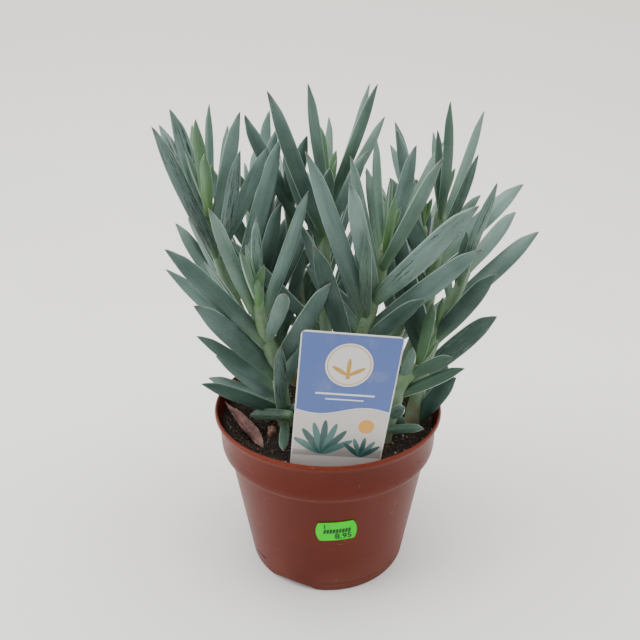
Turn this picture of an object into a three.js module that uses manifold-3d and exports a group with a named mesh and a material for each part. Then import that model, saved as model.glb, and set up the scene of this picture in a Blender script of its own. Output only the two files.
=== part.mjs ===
import * as THREE from "three";
import { mergeVertices } from "three/addons/utils/BufferGeometryUtils.js";
import Module from "manifold-3d";

// A blue chalk-stick succulent in a moulded nursery pot, with its plant tag and a price label.
// Millimetres, +Z up, origin at the centre of the pot's underside. The viewer stands on the -Y side.

const wasm = await Module();
wasm.setup();

// Pot: a thin wall with a tall collar, a rolled lip, a foot ring with arches and a ring of drain holes.
const pot = {
  sides: 40,
  height: 115,
  wall: 1.6,
  lipRadius: 76,
  lipDepth: 3.4,
  collarTopRadius: 75,
  collarBottomRadius: 69.8,
  collarBottom: 85.7,
  bodyTopRadius: 67.7,
  bodyTop: 84.2,
  baseRadius: 54.6,
  footWidth: 4.6,
  floorRise: 3,
  padRadius: 32,
  archCount: 3,
  archTurn: 245,
  archSpan: 34,
  archHeight: 2.6,
  drainCount: 6,
  drainRadius: 4,
  drainRing: 42,
};

// Soil: fills the pot and is heaped a little towards the middle.
const soil = { level: 104, heap: 3.5, lump: 0.7, gap: 0.3 };

// Plant tag: a slightly tapered card that leans to the right, with a pointed stake below the soil.
const tag = {
  thickness: 0.8,
  topWidth: 57.6,
  rimWidth: 53.6,
  rimLevel: 109,
  top: 193.4,
  corner: 4,
  shoulder: 99,
  stakeWidth: 22,
  stakePoint: 77,
  centreX: 4.5,
  centreY: -62.4,
  lean: 6.6,
  turn: 4.5,
};

// Price label: a small sticker with bulged ends, wrapped round the front of the pot.
const label = { width: 22, height: 16, bulge: 2, thickness: 0.6, gap: 0.3, level: 58.4, x: 5.6, tilt: 3 };

// Stems and leaves.
const stemBaseRadius = 4.3;
const stemTopRadius = 2.5;
const stemDepthInSoil = 20;
const stemSides = 7;
const stemSteps = 9;
const stemHoleRoom = 0.45;
const tagSlotRoom = 0.35;

// A leaf narrower than slimLeaf has a four-sided section, a wider one a six-sided one.
const leafHalfThickness = 2;
const slimLeaf = 14;
const shortestLeaf = 22;

// Leaves of one stem may meet near their roots, up to this share of their length, and stay clear beyond.
const rootShare = 0.35;
const clearance = 0.7;

// Where the stem and leaf points below are seen from: a pinhole view on a square frame of 640.
const view = { eyeY: -389.3, eyeZ: 342.4, pitch: 23.36, yaw: -0.75, roll: -0.18, focal: 660, middle: 320 };

const goldenAngle = 137.508;

// A small repeatable random draw, the same on every run.
function makeDraw(seed) {
  let state = seed;
  return () => {
    state = (state * 1664525 + 1013904223) % 4294967296;
    return state / 4294967296;
  };
}

function radians(degrees) {
  return (degrees * Math.PI) / 180;
}

function viewAxes() {
  const pitch = radians(view.pitch);
  const yaw = radians(view.yaw);
  const roll = radians(view.roll);
  const ahead = new THREE.Vector3(
    Math.sin(yaw) * Math.cos(pitch),
    Math.cos(yaw) * Math.cos(pitch),
    -Math.sin(pitch),
  );
  const level = new THREE.Vector3(Math.cos(yaw), -Math.sin(yaw), 0);
  const upright = new THREE.Vector3().crossVectors(level, ahead);
  const right = level.clone().multiplyScalar(Math.cos(roll)).addScaledVector(upright, Math.sin(roll));
  const up = upright.clone().multiplyScalar(Math.cos(roll)).addScaledVector(level, -Math.sin(roll));
  return { eye: new THREE.Vector3(0, view.eyeY, view.eyeZ), ahead, right, up };
}

const camera = viewAxes();

// The direction of the sight line through a column and row of the frame.
function sightLine(column, row) {
  return camera.ahead
    .clone()
    .addScaledVector(camera.right, (column - view.middle) / view.focal)
    .addScaledVector(camera.up, -(row - view.middle) / view.focal);
}

// The point on a sight line that lies at a given world y.
function pointAtDepth(column, row, y) {
  const line = sightLine(column, row);
  return camera.eye.clone().addScaledVector(line, (y - camera.eye.y) / line.y);
}

// The frame row in which a point is seen.
function rowOf(point) {
  const away = point.clone().sub(camera.eye);
  return view.middle - (view.focal * away.dot(camera.up)) / away.dot(camera.ahead);
}

// The point on a sight line at a given distance from a root, on its nearer (-1) or farther (1) side.
function tipOnSight(column, row, root, distance, side) {
  const line = sightLine(column, row).normalize();
  const toRoot = root.clone().sub(camera.eye);
  const along = toRoot.dot(line);
  const miss = toRoot.lengthSq() - along * along;
  const half = Math.sqrt(Math.max(distance * distance - miss, 0));
  return camera.eye.clone().addScaledVector(line, along + side * half);
}

function solidFrom(geometry) {
  const bare = geometry.index ? geometry.toNonIndexed() : geometry.clone();
  bare.deleteAttribute("normal");
  bare.deleteAttribute("uv");
  const merged = mergeVertices(bare, 1e-4);
  return new wasm.Manifold(
    new wasm.Mesh({
      numProp: 3,
      vertProperties: new Float32Array(merged.attributes.position.array),
      triVerts: new Uint32Array(merged.index.array),
    }),
  );
}

function geometryFrom(solid) {
  const mesh = solid.getMesh();
  const geometry = new THREE.BufferGeometry();
  geometry.setAttribute("position", new THREE.BufferAttribute(new Float32Array(mesh.vertProperties), 3));
  geometry.setIndex(new THREE.BufferAttribute(new Uint32Array(mesh.triVerts), 1));
  return geometry;
}

// A closed solid through a list of rings with equal numbers of points, with flat or pointed ends.
function loft(rings) {
  const positions = [];
  const index = [];
  const starts = [];
  for (const ring of rings) {
    starts.push(positions.length / 3);
    for (const point of ring) {
      positions.push(point.x, point.y, point.z);
    }
  }
  for (let k = 0; k + 1 < rings.length; k += 1) {
    const sides = Math.max(rings[k].length, rings[k + 1].length);
    for (let i = 0; i < sides; i += 1) {
      const next = (i + 1) % sides;
      const lower = starts[k] + i;
      const lowerNext = starts[k] + next;
      if (rings[k + 1].length === 1) {
        index.push(lower, lowerNext, starts[k + 1]);
      } else {
        const upper = starts[k + 1] + i;
        const upperNext = starts[k + 1] + next;
        index.push(lower, lowerNext, upperNext, lower, upperNext, upper);
      }
    }
  }
  closeEnd(index, starts[0], rings[0].length, true);
  const last = rings.length - 1;
  if (rings[last].length > 1) {
    closeEnd(index, starts[last], rings[last].length, false);
  }
  const geometry = new THREE.BufferGeometry();
  geometry.setAttribute("position", new THREE.Float32BufferAttribute(positions, 3));
  geometry.setIndex(index);
  return geometry;
}

function closeEnd(index, start, count, facesBack) {
  for (let i = 1; i + 1 < count; i += 1) {
    if (facesBack) {
      index.push(start, start + i + 1, start + i);
    } else {
      index.push(start, start + i, start + i + 1);
    }
  }
}

function pointsFrom(pairs) {
  return pairs.map(([radius, z]) => new THREE.Vector2(radius, z));
}

// A turned solid with its axis along Z.
function turned(pairs) {
  return new THREE.LatheGeometry(pointsFrom(pairs), pot.sides).rotateX(Math.PI / 2);
}

// Radius of the pot's outer wall at a height under the collar.
function bodyRadius(z) {
  return pot.baseRadius + ((pot.bodyTopRadius - pot.baseRadius) * z) / pot.bodyTop;
}

// Radius of the inside of the collar at a height.
function collarInside(z) {
  const share = (z - pot.collarBottom) / (pot.height - pot.lipDepth - pot.collarBottom);
  return pot.collarBottomRadius + (pot.collarTopRadius - pot.collarBottomRadius) * share - pot.wall;
}

function makePot() {
  const lipBottom = pot.height - pot.lipDepth;
  const footInside = pot.baseRadius - pot.footWidth;
  const outside = [
    [0, 0],
    [pot.padRadius, 0],
    [pot.padRadius + 2, pot.floorRise],
    [footInside - 1.5, pot.floorRise],
    [footInside, 0],
    [pot.baseRadius, 0],
    [pot.bodyTopRadius, pot.bodyTop],
    [pot.collarBottomRadius, pot.collarBottom],
    [pot.collarTopRadius, lipBottom],
    [pot.lipRadius, lipBottom + 0.5],
    [pot.lipRadius, pot.height - 1.2],
    [pot.lipRadius - 0.9, pot.height],
  ];
  const inside = [
    [collarInside(pot.height) + 0.4, pot.height],
    [collarInside(pot.height) - 0.3, pot.height - 1.2],
    [collarInside(pot.collarBottom), pot.collarBottom],
    [pot.bodyTopRadius - pot.wall, pot.bodyTop - 0.4],
    [bodyRadius(pot.floorRise + pot.wall) - pot.wall, pot.floorRise + pot.wall],
    [pot.padRadius + 2 - pot.wall * 0.5, pot.floorRise + pot.wall],
    [pot.padRadius - pot.wall * 0.5, pot.wall],
    [0, pot.wall],
  ];
  let body = solidFrom(turned([...outside, ...inside]));
  for (let k = 0; k < pot.archCount; k += 1) {
    body = body.subtract(archCutter(radians(pot.archTurn + (360 * k) / pot.archCount)));
  }
  for (let k = 0; k < pot.drainCount; k += 1) {
    const angle = (2 * Math.PI * k) / pot.drainCount;
    const hole = new THREE.CylinderGeometry(pot.drainRadius, pot.drainRadius, 20, 12);
    hole.rotateX(Math.PI / 2);
    hole.translate(pot.drainRing * Math.cos(angle), pot.drainRing * Math.sin(angle), pot.floorRise);
    body = body.subtract(solidFrom(hole));
  }
  return geometryFrom(body);
}

// A low arch that is cut through the foot ring, so that water can run out.
function archCutter(angle) {
  const halfWidth = pot.baseRadius * Math.sin(radians(pot.archSpan / 2));
  const outline = new THREE.Shape();
  outline.moveTo(-halfWidth, -1);
  outline.lineTo(halfWidth, -1);
  outline.lineTo(halfWidth, 0);
  outline.lineTo(halfWidth * 0.75, pot.archHeight);
  outline.lineTo(-halfWidth * 0.75, pot.archHeight);
  outline.lineTo(-halfWidth, 0);
  const depth = 18;
  const cutter = new THREE.ExtrudeGeometry(outline, { depth, bevelEnabled: false });
  cutter.rotateX(Math.PI / 2);
  cutter.translate(0, pot.baseRadius + depth / 2 - 2, 0);
  cutter.rotateZ(angle - Math.PI / 2);
  return solidFrom(cutter);
}

// Height of the soil's surface, heaped in the middle and lumpy all over.
function soilHeight(x, y) {
  const spread = Math.hypot(x, y) / 70;
  const lumps = Math.sin(x * 0.21 + 1) * Math.cos(y * 0.19) + 0.6 * Math.sin(x * 0.09 - y * 0.33);
  return soil.level + soil.heap * (1 - spread * spread) + soil.lump * lumps;
}

function makeSoil(holes) {
  const gap = soil.gap;
  const floor = pot.floorRise + pot.wall + gap;
  const edge = collarInside(soil.level) - gap - 0.2;
  const profile = [
    [0, floor],
    [bodyRadius(floor) - pot.wall - gap * 1.5, floor],
    [pot.bodyTopRadius - pot.wall - gap * 1.5, pot.bodyTop - 0.4],
    [collarInside(pot.collarBottom) - gap * 1.5, pot.collarBottom + gap],
    [edge, soil.level],
  ];
  const topRings = 4;
  for (let k = 1; k <= topRings; k += 1) {
    profile.push([edge * (1 - k / (topRings + 0.35)), soil.level]);
  }
  profile.push([0, soil.level]);
  const geometry = turned(profile);
  const position = geometry.attributes.position;
  for (let i = 0; i < position.count; i += 1) {
    if (position.getZ(i) > soil.level - 0.5) {
      position.setZ(i, soilHeight(position.getX(i), position.getY(i)));
    }
  }
  let body = solidFrom(geometry);
  for (const hole of holes) {
    body = body.subtract(hole);
  }
  return geometryFrom(body);
}

// Half the width of the tag at a height, with room added all round for the slot in the soil.
function tagOutline(room) {
  const halfTop = tag.topWidth / 2 + room;
  const halfRim = tag.rimWidth / 2 + room;
  const slope = (halfTop - halfRim) / (tag.top - tag.rimLevel);
  const halfShoulder = halfRim - slope * (tag.rimLevel - tag.shoulder);
  const outline = new THREE.Shape();
  outline.moveTo(0, tag.stakePoint - room);
  outline.lineTo(tag.stakeWidth / 2 + room, tag.shoulder - 12 - room);
  outline.lineTo(tag.stakeWidth / 2 + room, tag.shoulder - 4 - room);
  outline.lineTo(halfShoulder, tag.shoulder - room);
  outline.lineTo(halfTop, tag.top - tag.corner);
  outline.quadraticCurveTo(halfTop, tag.top, halfTop - tag.corner, tag.top);
  outline.lineTo(-halfTop + tag.corner, tag.top);
  outline.quadraticCurveTo(-halfTop, tag.top, -halfTop, tag.top - tag.corner);
  outline.lineTo(-halfShoulder, tag.shoulder - room);
  outline.lineTo(-tag.stakeWidth / 2 - room, tag.shoulder - 4 - room);
  outline.lineTo(-tag.stakeWidth / 2 - room, tag.shoulder - 12 - room);
  return outline;
}

// The tag's card, or with room added, the slot that it stands in.
function makeTag(room) {
  const depth = tag.thickness + 2 * room;
  const card = new THREE.ExtrudeGeometry(tagOutline(room), { depth, bevelEnabled: false, curveSegments: 4 });
  card.translate(0, -tag.rimLevel, -depth / 2);
  card.rotateZ(radians(-tag.lean));
  card.rotateX(Math.PI / 2);
  card.rotateZ(radians(tag.turn));
  card.translate(tag.centreX, tag.centreY, tag.rimLevel);
  return card;
}

// The label is a strip of cells wrapped round the pot's wall, with its ends bulged outwards.
function makeLabel() {
  const columns = 10;
  const rows = 4;
  const layers = [0, label.thickness].map((lift) => {
    const sheet = [];
    for (let j = 0; j <= rows; j += 1) {
      const up = (2 * j) / rows - 1;
      const half = label.width / 2 + label.bulge * (1 - up * up);
      const line = [];
      for (let i = 0; i <= columns; i += 1) {
        line.push(pointOnPot(half * ((2 * i) / columns - 1), (up * label.height) / 2, label.gap + lift));
      }
      sheet.push(line);
    }
    return sheet;
  });
  const rings = [];
  for (let i = 0; i <= columns; i += 1) {
    const back = layers[0].map((line) => line[i]);
    const front = layers[1].map((line) => line[i]);
    rings.push([...back, ...front.reverse()]);
  }
  return loft(rings);
}

// A point on the front of the pot, from the label's own across and up, lifted off the wall.
function pointOnPot(across, up, lift) {
  const tilt = radians(label.tilt);
  const sideways = across * Math.cos(tilt) - up * Math.sin(tilt);
  const z = label.level + across * Math.sin(tilt) + up * Math.cos(tilt);
  const radius = bodyRadius(z) + lift;
  const angle = Math.asin(label.x / radius) + sideways / radius - Math.PI / 2;
  return new THREE.Vector3(radius * Math.cos(angle), radius * Math.sin(angle), z);
}

// A stem follows a smooth curve from its foot in the soil through points given by column, row and depth.
function stemCurve(stem) {
  const [x, y] = stem.foot;
  const foot = new THREE.Vector3(x, y, soil.level - stemDepthInSoil);
  const collar = new THREE.Vector3(x, y, soil.level + soil.heap);
  const upper = stem.path.map(([column, row, depth]) => pointAtDepth(column, row, depth));
  return new THREE.CatmullRomCurve3([foot, collar, ...upper], false, "catmullrom", 0.5);
}

function stemRadius(share) {
  return stemBaseRadius + (stemTopRadius - stemBaseRadius) * share;
}

function stemTube(curve, room) {
  const rings = [];
  for (let k = 0; k <= stemSteps; k += 1) {
    const share = k / stemSteps;
    const centre = curve.getPoint(share);
    const along = curve.getTangent(share);
    if (k === 0) {
      centre.addScaledVector(along, -room);
    }
    const side = new THREE.Vector3(1, 0, 0).addScaledVector(along, -along.x).normalize();
    const other = new THREE.Vector3().crossVectors(along, side);
    const radius = stemRadius(share) + room;
    const ring = [];
    for (let i = 0; i < stemSides; i += 1) {
      const angle = (2 * Math.PI * i) / stemSides;
      ring.push(
        centre
          .clone()
          .addScaledVector(side, radius * Math.cos(angle))
          .addScaledVector(other, radius * Math.sin(angle)),
      );
    }
    rings.push(ring);
  }
  return loft(rings);
}

// The share of a stem's curve that is seen in a given row.
function shareAtRow(curve, row) {
  let low = 0;
  let high = 1;
  for (let k = 0; k < 30; k += 1) {
    const middle = (low + high) / 2;
    if (rowOf(curve.getPoint(middle)) > row) {
      low = middle;
    } else {
      high = middle;
    }
  }
  return (low + high) / 2;
}

// Outline of a leaf: reach of the straighter and of the rounder edge, and thickness, along its length.
const leafStations = [
  { at: 0, straight: 0.42, round: 0.42, thick: 1 },
  { at: 0.4, straight: 0.56, round: 1.2, thick: 1 },
  { at: 0.74, straight: 0.36, round: 1.26, thick: 0.8 },
  { at: 0.92, straight: 0.12, round: 0.76, thick: 0.5 },
];

// The frame of a leaf: a bowed midline from root to tip, and a blade whose rounder edge is the upper one.
function leafFrame(root, tip, upper, width, bow, turn) {
  const chord = tip.clone().sub(root);
  const length = chord.length();
  chord.divideScalar(length);
  const across = upper.clone().addScaledVector(chord, -upper.dot(chord)).normalize();
  across.applyAxisAngle(chord, radians(turn));
  const flat = new THREE.Vector3().crossVectors(chord, across);
  const middle = root.clone().add(tip).multiplyScalar(0.5).addScaledVector(across, -bow * length);
  const midline = new THREE.QuadraticBezierCurve3(root, middle, tip);
  return { midline, across, flat, width, length };
}

function leafSolid(leaf) {
  const halfWidth = leaf.width / 2;
  const halfThickness = leafHalfThickness * Math.min(1, 0.4 + leaf.width / 20);
  const rings = leafStations.map(({ at, straight, round, thick }) => {
    const centre = leaf.midline.getPoint(at);
    const low = -halfWidth * straight;
    const high = halfWidth * round;
    const span = high - low;
    const lift = halfThickness * thick;
    const place = (reach, raise) =>
      centre.clone().addScaledVector(leaf.across, reach).addScaledVector(leaf.flat, raise);
    if (leaf.width < slimLeaf) {
      return [place(low, 0), place(low + span / 2, -lift), place(high, 0), place(low + span / 2, lift)];
    }
    return [
      place(low, 0),
      place(low + span * 0.28, -lift),
      place(low + span * 0.74, -lift),
      place(high, 0),
      place(low + span * 0.74, lift),
      place(low + span * 0.28, lift),
    ];
  });
  rings.push([leaf.midline.getPoint(1)]);
  return solidFrom(loft(rings));
}

// Short straight pieces of a leaf or stem, each with its half width and half thickness, for clearance.
function leafPieces(leaf) {
  const count = 8;
  const pieces = [];
  for (let k = 0; k < count; k += 1) {
    const middle = (k + 0.5) / count;
    const reach = Math.min(1, 0.45 + 1.3 * middle) * Math.min(1, (1 - middle) * 3.2);
    const offset = leaf.across.clone().multiplyScalar(leaf.width * 0.19 * reach);
    const start = leaf.midline.getPoint(k / count).add(offset);
    const end = leaf.midline.getPoint((k + 1) / count).add(offset);
    pieces.push({
      start,
      step: end.sub(start),
      across: leaf.across,
      flat: leaf.flat,
      halfWidth: (leaf.width / 2) * 0.92 * reach,
      halfThickness: leafHalfThickness,
      share: middle,
    });
  }
  return pieces;
}

function stemPieces(curve) {
  const pieces = [];
  for (let k = 0; k < stemSteps; k += 1) {
    const start = curve.getPoint(k / stemSteps);
    const end = curve.getPoint((k + 1) / stemSteps);
    const radius = stemRadius(k / stemSteps);
    pieces.push({
      start,
      step: end.sub(start),
      across: new THREE.Vector3(1, 0, 0),
      flat: new THREE.Vector3(0, 1, 0),
      halfWidth: radius,
      halfThickness: radius,
      share: 1,
    });
  }
  return pieces;
}

// How far a flat piece reaches towards a direction.
function reachTowards(piece, direction) {
  const wide = piece.halfWidth * direction.dot(piece.across);
  const thick = piece.halfThickness * direction.dot(piece.flat);
  return Math.hypot(wide, thick);
}

// Whether two straight pieces come closer than their own sizes and the clearance allow.
function touch(one, other) {
  const apart = one.start.clone().sub(other.start);
  const a = one.step.dot(one.step);
  const b = one.step.dot(other.step);
  const c = other.step.dot(other.step);
  const d = one.step.dot(apart);
  const e = other.step.dot(apart);
  const spread = a * c - b * b;
  let s = spread > 1e-9 ? THREE.MathUtils.clamp((b * e - c * d) / spread, 0, 1) : 0.5;
  const t = THREE.MathUtils.clamp((b * s + e) / c, 0, 1);
  s = THREE.MathUtils.clamp((b * t - d) / a, 0, 1);
  const between = apart.addScaledVector(one.step, s).addScaledVector(other.step, -t);
  const distance = between.length();
  if (distance > one.halfWidth + other.halfWidth + clearance) {
    return false;
  }
  between.divideScalar(Math.max(distance, 1e-6));
  return distance < reachTowards(one, between) + reachTowards(other, between) + clearance;
}

const tagCentre = new THREE.Vector3(tag.centreX, tag.centreY, tag.rimLevel);

// Whether a leaf's piece runs into the soil, the pot's lip or the plant tag.
function hitsPotOrTag(piece) {
  for (const share of [0, 1]) {
    const point = piece.start.clone().addScaledVector(piece.step, share);
    const radius = Math.hypot(point.x, point.y);
    const reach = Math.hypot(piece.halfWidth * piece.across.z, piece.halfThickness * piece.flat.z) + 0.6;
    const low = point.z - reach;
    if (piece.share > 0.2 && low < soilHeight(point.x, point.y)) {
      return true;
    }
    if (low < pot.height + 1 && radius + piece.halfThickness > collarInside(pot.height) - 2) {
      return true;
    }
    const local = point.sub(tagCentre).applyAxisAngle(new THREE.Vector3(0, 0, 1), radians(-tag.turn));
    const high = tag.top - tag.rimLevel + 3;
    const sideways = local.x - local.z * Math.tan(radians(tag.lean));
    const room = Math.hypot(piece.halfWidth * piece.across.y, piece.halfThickness * piece.flat.y) + 1.2;
    if (local.z < high && Math.abs(sideways) < tag.topWidth / 2 + 4 && Math.abs(local.y) < room) {
      return true;
    }
  }
  return false;
}

// How badly a leaf fits among what stands already: 2 where it meets another stem, 1 its own stem's leaves.
function crowding(pieces, stemNumber, placed) {
  let worst = 0;
  for (const piece of pieces) {
    if (hitsPotOrTag(piece)) {
      return 2;
    }
  }
  for (const other of placed) {
    const own = other.stem === stemNumber;
    if (own && (other.isStem || worst > 0)) {
      continue;
    }
    for (const piece of pieces) {
      for (const part of other.pieces) {
        const rooted = own && (piece.share < rootShare || part.share < rootShare);
        if (!rooted && touch(piece, part)) {
          if (!own) {
            return 2;
          }
          worst = 1;
        }
      }
    }
  }
  return worst;
}

// Ways to bend a leaf clear. A leaf whose tip is given keeps it in the same line of sight.
const stretches = [0, -4, 4, -8, 8, -13, 13, -18, 18, 24];

// The direction across a leaf that turns its broad side to the viewer, on the stem's side.
function broadside(root, tip, axis) {
  const across = tip.clone().sub(root).cross(tip.clone().sub(camera.eye)).normalize();
  return across.dot(axis) < 0 ? across.negate() : across;
}

function shownChoices(leaf, curve) {
  const share = shareAtRow(curve, leaf.row);
  const root = curve.getPoint(share);
  const axis = curve.getTangent(share);
  const choices = [];
  for (const side of [leaf.side, -leaf.side]) {
    for (const stretch of stretches) {
      const length = Math.max(leaf.length + stretch, shortestLeaf);
      const tip = tipOnSight(leaf.tip[0], leaf.tip[1], root, length, side);
      const upper = broadside(root, tip, axis);
      choices.push(leafFrame(root, tip, upper, leaf.width, leaf.bow, leaf.turn));
    }
  }
  return choices;
}

// The outline of the whole crown, in columns and rows of the view. Leaves set by rule stay inside it.
const crown = [
  [160, 150], [180, 150], [196, 150], [205, 165], [218, 172], [236, 165], [250, 150], [262, 145],
  [280, 150], [296, 165], [312, 172], [325, 178], [335, 178], [350, 168], [366, 165], [383, 180],
  [399, 172], [412, 168], [422, 188], [436, 188], [445, 208], [455, 218], [470, 214], [484, 218],
  [476, 242], [463, 276], [474, 286], [460, 302], [470, 322], [440, 345],
  [440, 380], [215, 384], [225, 365], [215, 345], [205, 325], [185, 290], [178, 262], [190, 250],
  [190, 230], [175, 190],
];

function insideCrown(point) {
  const away = point.clone().sub(camera.eye);
  const scale = view.focal / away.dot(camera.ahead);
  const column = view.middle + scale * away.dot(camera.right);
  const row = view.middle - scale * away.dot(camera.up);
  let inside = false;
  for (let i = 0; i < crown.length; i += 1) {
    const [x1, y1] = crown[i];
    const [x2, y2] = crown[(i + 1) % crown.length];
    if (y1 > row !== y2 > row && column < x1 + ((x2 - x1) * (row - y1)) / (y2 - y1)) {
      inside = !inside;
    }
  }
  return inside;
}

// A leaf placed by the golden angle round its stem may swing, lean and shorten.
const swings = [0, 12, -12, 24, -24, 36, -36];
const leans = [0, 9, -9];

function ruledChoices(leaf, curve) {
  const root = curve.getPoint(leaf.share);
  const axis = curve.getTangent(leaf.share);
  const side = new THREE.Vector3(1, 0, 0).addScaledVector(axis, -axis.x).normalize();
  const other = new THREE.Vector3().crossVectors(axis, side);
  const choices = [];
  for (const shorter of [1, 0.82]) {
    for (const lean of leans) {
      for (const swing of swings) {
        const around = radians(leaf.around + swing);
        const away = radians(leaf.away + lean);
        const outward = side.clone().multiplyScalar(Math.cos(around));
        outward.addScaledVector(other, Math.sin(around));
        const heading = axis.clone().multiplyScalar(Math.cos(away));
        heading.addScaledVector(outward, Math.sin(away));
        const tip = root.clone().addScaledVector(heading, leaf.length * shorter);
        if (insideCrown(tip)) {
          choices.push(leafFrame(root, tip, axis, leaf.width, leaf.bow, leaf.turn));
        }
      }
    }
  }
  return choices;
}

const near = -1;
const far = 1;

// Where round a stem its ruled leaves stand, in degrees from +X: where the arc starts, and its span.
const farArc = [24, 132];
const backArc = [-20, 220];

// Stems: the foot on the soil in mm, then column, row and depth (world y in mm) of points up the stem.
// Leaves that show: column and row of the tip, row of the root, length in mm, side of the tip and
// width in mm. "ruled" leaves are set by the golden angle round the arc turned from the viewer,
// and "young" ones stand round the growing point.
const stems = [
  {
    name: "leafy_stem_1",
    foot: [-33, 14],
    path: [[262, 358, 12], [244, 322, 8], [226, 281, 5], [212, 232, 3], [207, 202, 2]],
    shown: [
      [151, 126, 262, 94, near, 11],
      [158.5, 124.5, 250, 90, far, 13],
      [169, 108.5, 232, 84, near, 12],
      [195.5, 118.5, 222, 66, near, 9],
      [192, 124, 226, 66, far, 9],
      [209.3, 103.2, 218, 76, far, 6],
      [205, 153, 214, 42, near, 8],
      [228, 125, 236, 76, far, 9],
      [240.3, 111, 240, 84, near, 12],
      [240.5, 150, 262, 80, near, 12],
      [175, 223, 308, 80, far, 12],
    ],
    ruled: 6,
    arc: farArc,
    young: 2,
  },
  {
    name: "leafy_stem_2",
    foot: [-28, -16],
    path: [[279, 378, -22], [270, 350, -30], [262, 325, -36], [257, 298, -41]],
    shown: [
      [164, 249, 330, 78, far, 13],
      [165, 269, 340, 82, near, 12],
      [193, 305.5, 364, 72, near, 14],
      [196, 336, 374, 66, far, 11],
      [215, 355.5, 396, 58, far, 12],
      [208, 378, 406, 60, far, 12],
      [201, 384, 412, 62, near, 12],
      [208, 208, 318, 80, near, 11],
      [256.5, 217, 310, 62, near, 9],
      [252, 236, 314, 56, far, 10],
      [246, 265, 312, 36, near, 7],
      [258, 279, 308, 24, near, 6],
      [251, 313, 348, 40, far, 8],
      [309, 190, 322, 88, far, 13],
      [285, 294, 340, 52, near, 13],
      [331, 283, 366, 72, near, 15],
      [281.5, 345.5, 392, 46, near, 9],
      [249.5, 416, 410, 26, near, 8],
      [298, 408, 414, 14, near, 8],
      [283.5, 451, 420, 27, near, 8],
    ],
    ruled: 4,
    arc: farArc,
    young: 3,
  },
  {
    name: "leafy_stem_3",
    foot: [-22, 38],
    path: [[270, 340, 42], [258, 290, 46], [253, 250, 49], [253, 212, 51]],
    shown: [
      [244, 113.5, 222, 78, near, 13],
      [257, 145, 240, 70, far, 12],
      [269.7, 110, 222, 80, far, 12],
      [278, 127, 232, 76, near, 11],
      [282, 135.5, 268, 96, near, 15],
      [281.5, 202.5, 292, 70, near, 13],
      [291, 212, 300, 74, far, 12],
    ],
    ruled: 11,
    arc: backArc,
    young: 3,
  },
  {
    name: "leafy_stem_4",
    foot: [13, -18],
    path: [[358, 355, -24], [367, 322, -25], [376, 290, -25], [383, 262, -24], [387, 240, -23]],
    shown: [
      [305, 151, 318, 108, near, 15],
      [350, 155.5, 282, 80, near, 11],
      [366, 167.5, 264, 64, far, 10],
      [375.5, 134.5, 256, 78, far, 7],
      [349.5, 183, 292, 74, near, 11],
      [365.5, 233, 322, 66, near, 8],
      [444, 157, 272, 86, near, 13],
      [444, 141.3, 264, 92, far, 12],
      [480, 205.5, 302, 96, near, 15],
      [395, 195, 258, 44, near, 6],
      [416.8, 144.5, 256, 82, far, 15],
      [483.5, 249, 336, 86, near, 14],
      [425.5, 299, 348, 52, near, 11],
      [312.5, 245, 342, 78, near, 14],
      [305, 265, 334, 66, far, 11],
    ],
    ruled: 4,
    arc: farArc,
    young: 3,
  },
  {
    name: "leafy_stem_5",
    foot: [2, 22],
    path: [[326, 335, 26], [325, 285, 29], [325, 240, 31], [328, 195, 33]],
    shown: [
      [307.5, 82.5, 205, 84, near, 8],
      [328.7, 116.3, 204, 62, far, 7],
      [320.6, 126.5, 200, 54, near, 8],
      [336.5, 150, 202, 38, far, 7],
      [330.5, 168, 212, 46, near, 9],
      [370, 83, 208, 90, far, 10],
      [378.3, 83, 212, 92, near, 11],
      [385.4, 116, 216, 84, far, 12],
      [368, 151, 232, 66, near, 12],
      [266.5, 90, 238, 110, near, 14],
      [293.5, 155, 242, 70, near, 9],
    ],
    ruled: 11,
    arc: backArc,
    young: 0,
  },
  {
    name: "leafy_stem_6",
    foot: [56, -13],
    path: [[418, 391, -12], [427, 357, -10], [441, 322, -8], [458, 290, -6], [468, 264, -5]],
    shown: [
      [516, 212, 272, 62, far, 10],
      [497.3, 182, 288, 86, near, 7],
      [539.5, 231.5, 314, 84, far, 13],
      [496.5, 274, 342, 62, near, 13],
      [466.5, 231, 292, 42, near, 7],
      [443.5, 252, 304, 44, far, 7],
      [497.5, 316.5, 376, 66, far, 15],
      [442.5, 297, 330, 26, near, 5],
      [432.5, 302, 364, 46, near, 8],
      [456.5, 377.5, 410, 42, near, 14],
    ],
    ruled: 7,
    arc: farArc,
    young: 2,
  },
  {
    name: "leafy_stem_7",
    foot: [26, 36],
    path: [[398, 330, 40], [411, 285, 44], [419, 250, 47], [424, 222, 49]],
    shown: [
      [394.7, 121.3, 232, 86, far, 12],
      [396.2, 129, 240, 84, near, 12],
      [390, 144.5, 234, 76, far, 11],
      [405, 200.5, 268, 56, near, 11],
      [428, 205, 272, 54, near, 11],
    ],
    ruled: 11,
    arc: backArc,
    young: 2,
  },
  {
    name: "leafy_stem_8",
    foot: [42, 12],
    path: [[420, 330, 15], [431, 285, 17], [438, 240, 18], [441, 205, 18]],
    shown: [
      [433, 131.5, 214, 56, far, 6],
      [437.4, 129.5, 212, 56, near, 6],
      [450.7, 100.5, 222, 80, near, 7],
      [484.7, 110, 236, 90, far, 10],
      [479, 154, 246, 68, near, 9],
      [524, 184, 264, 100, far, 13],
      [481, 195, 244, 60, far, 9],
      [443, 172, 212, 28, near, 7],
    ],
    ruled: 10,
    arc: backArc,
    young: 0,
  },
  {
    name: "leafy_stem_9",
    foot: [36, -34],
    path: [[400, 386, -36], [411, 374, -35], [419, 364, -33]],
    shown: [
      [465, 368.5, 396, 46, near, 9],
      [452, 357, 376, 26, near, 9],
      [412.5, 347, 384, 26, near, 8],
      [405, 408, 416, 24, near, 9],
      [403, 424, 416, 18, far, 8],
      [424, 429, 424, 28, near, 9],
    ],
    ruled: 0,
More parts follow.
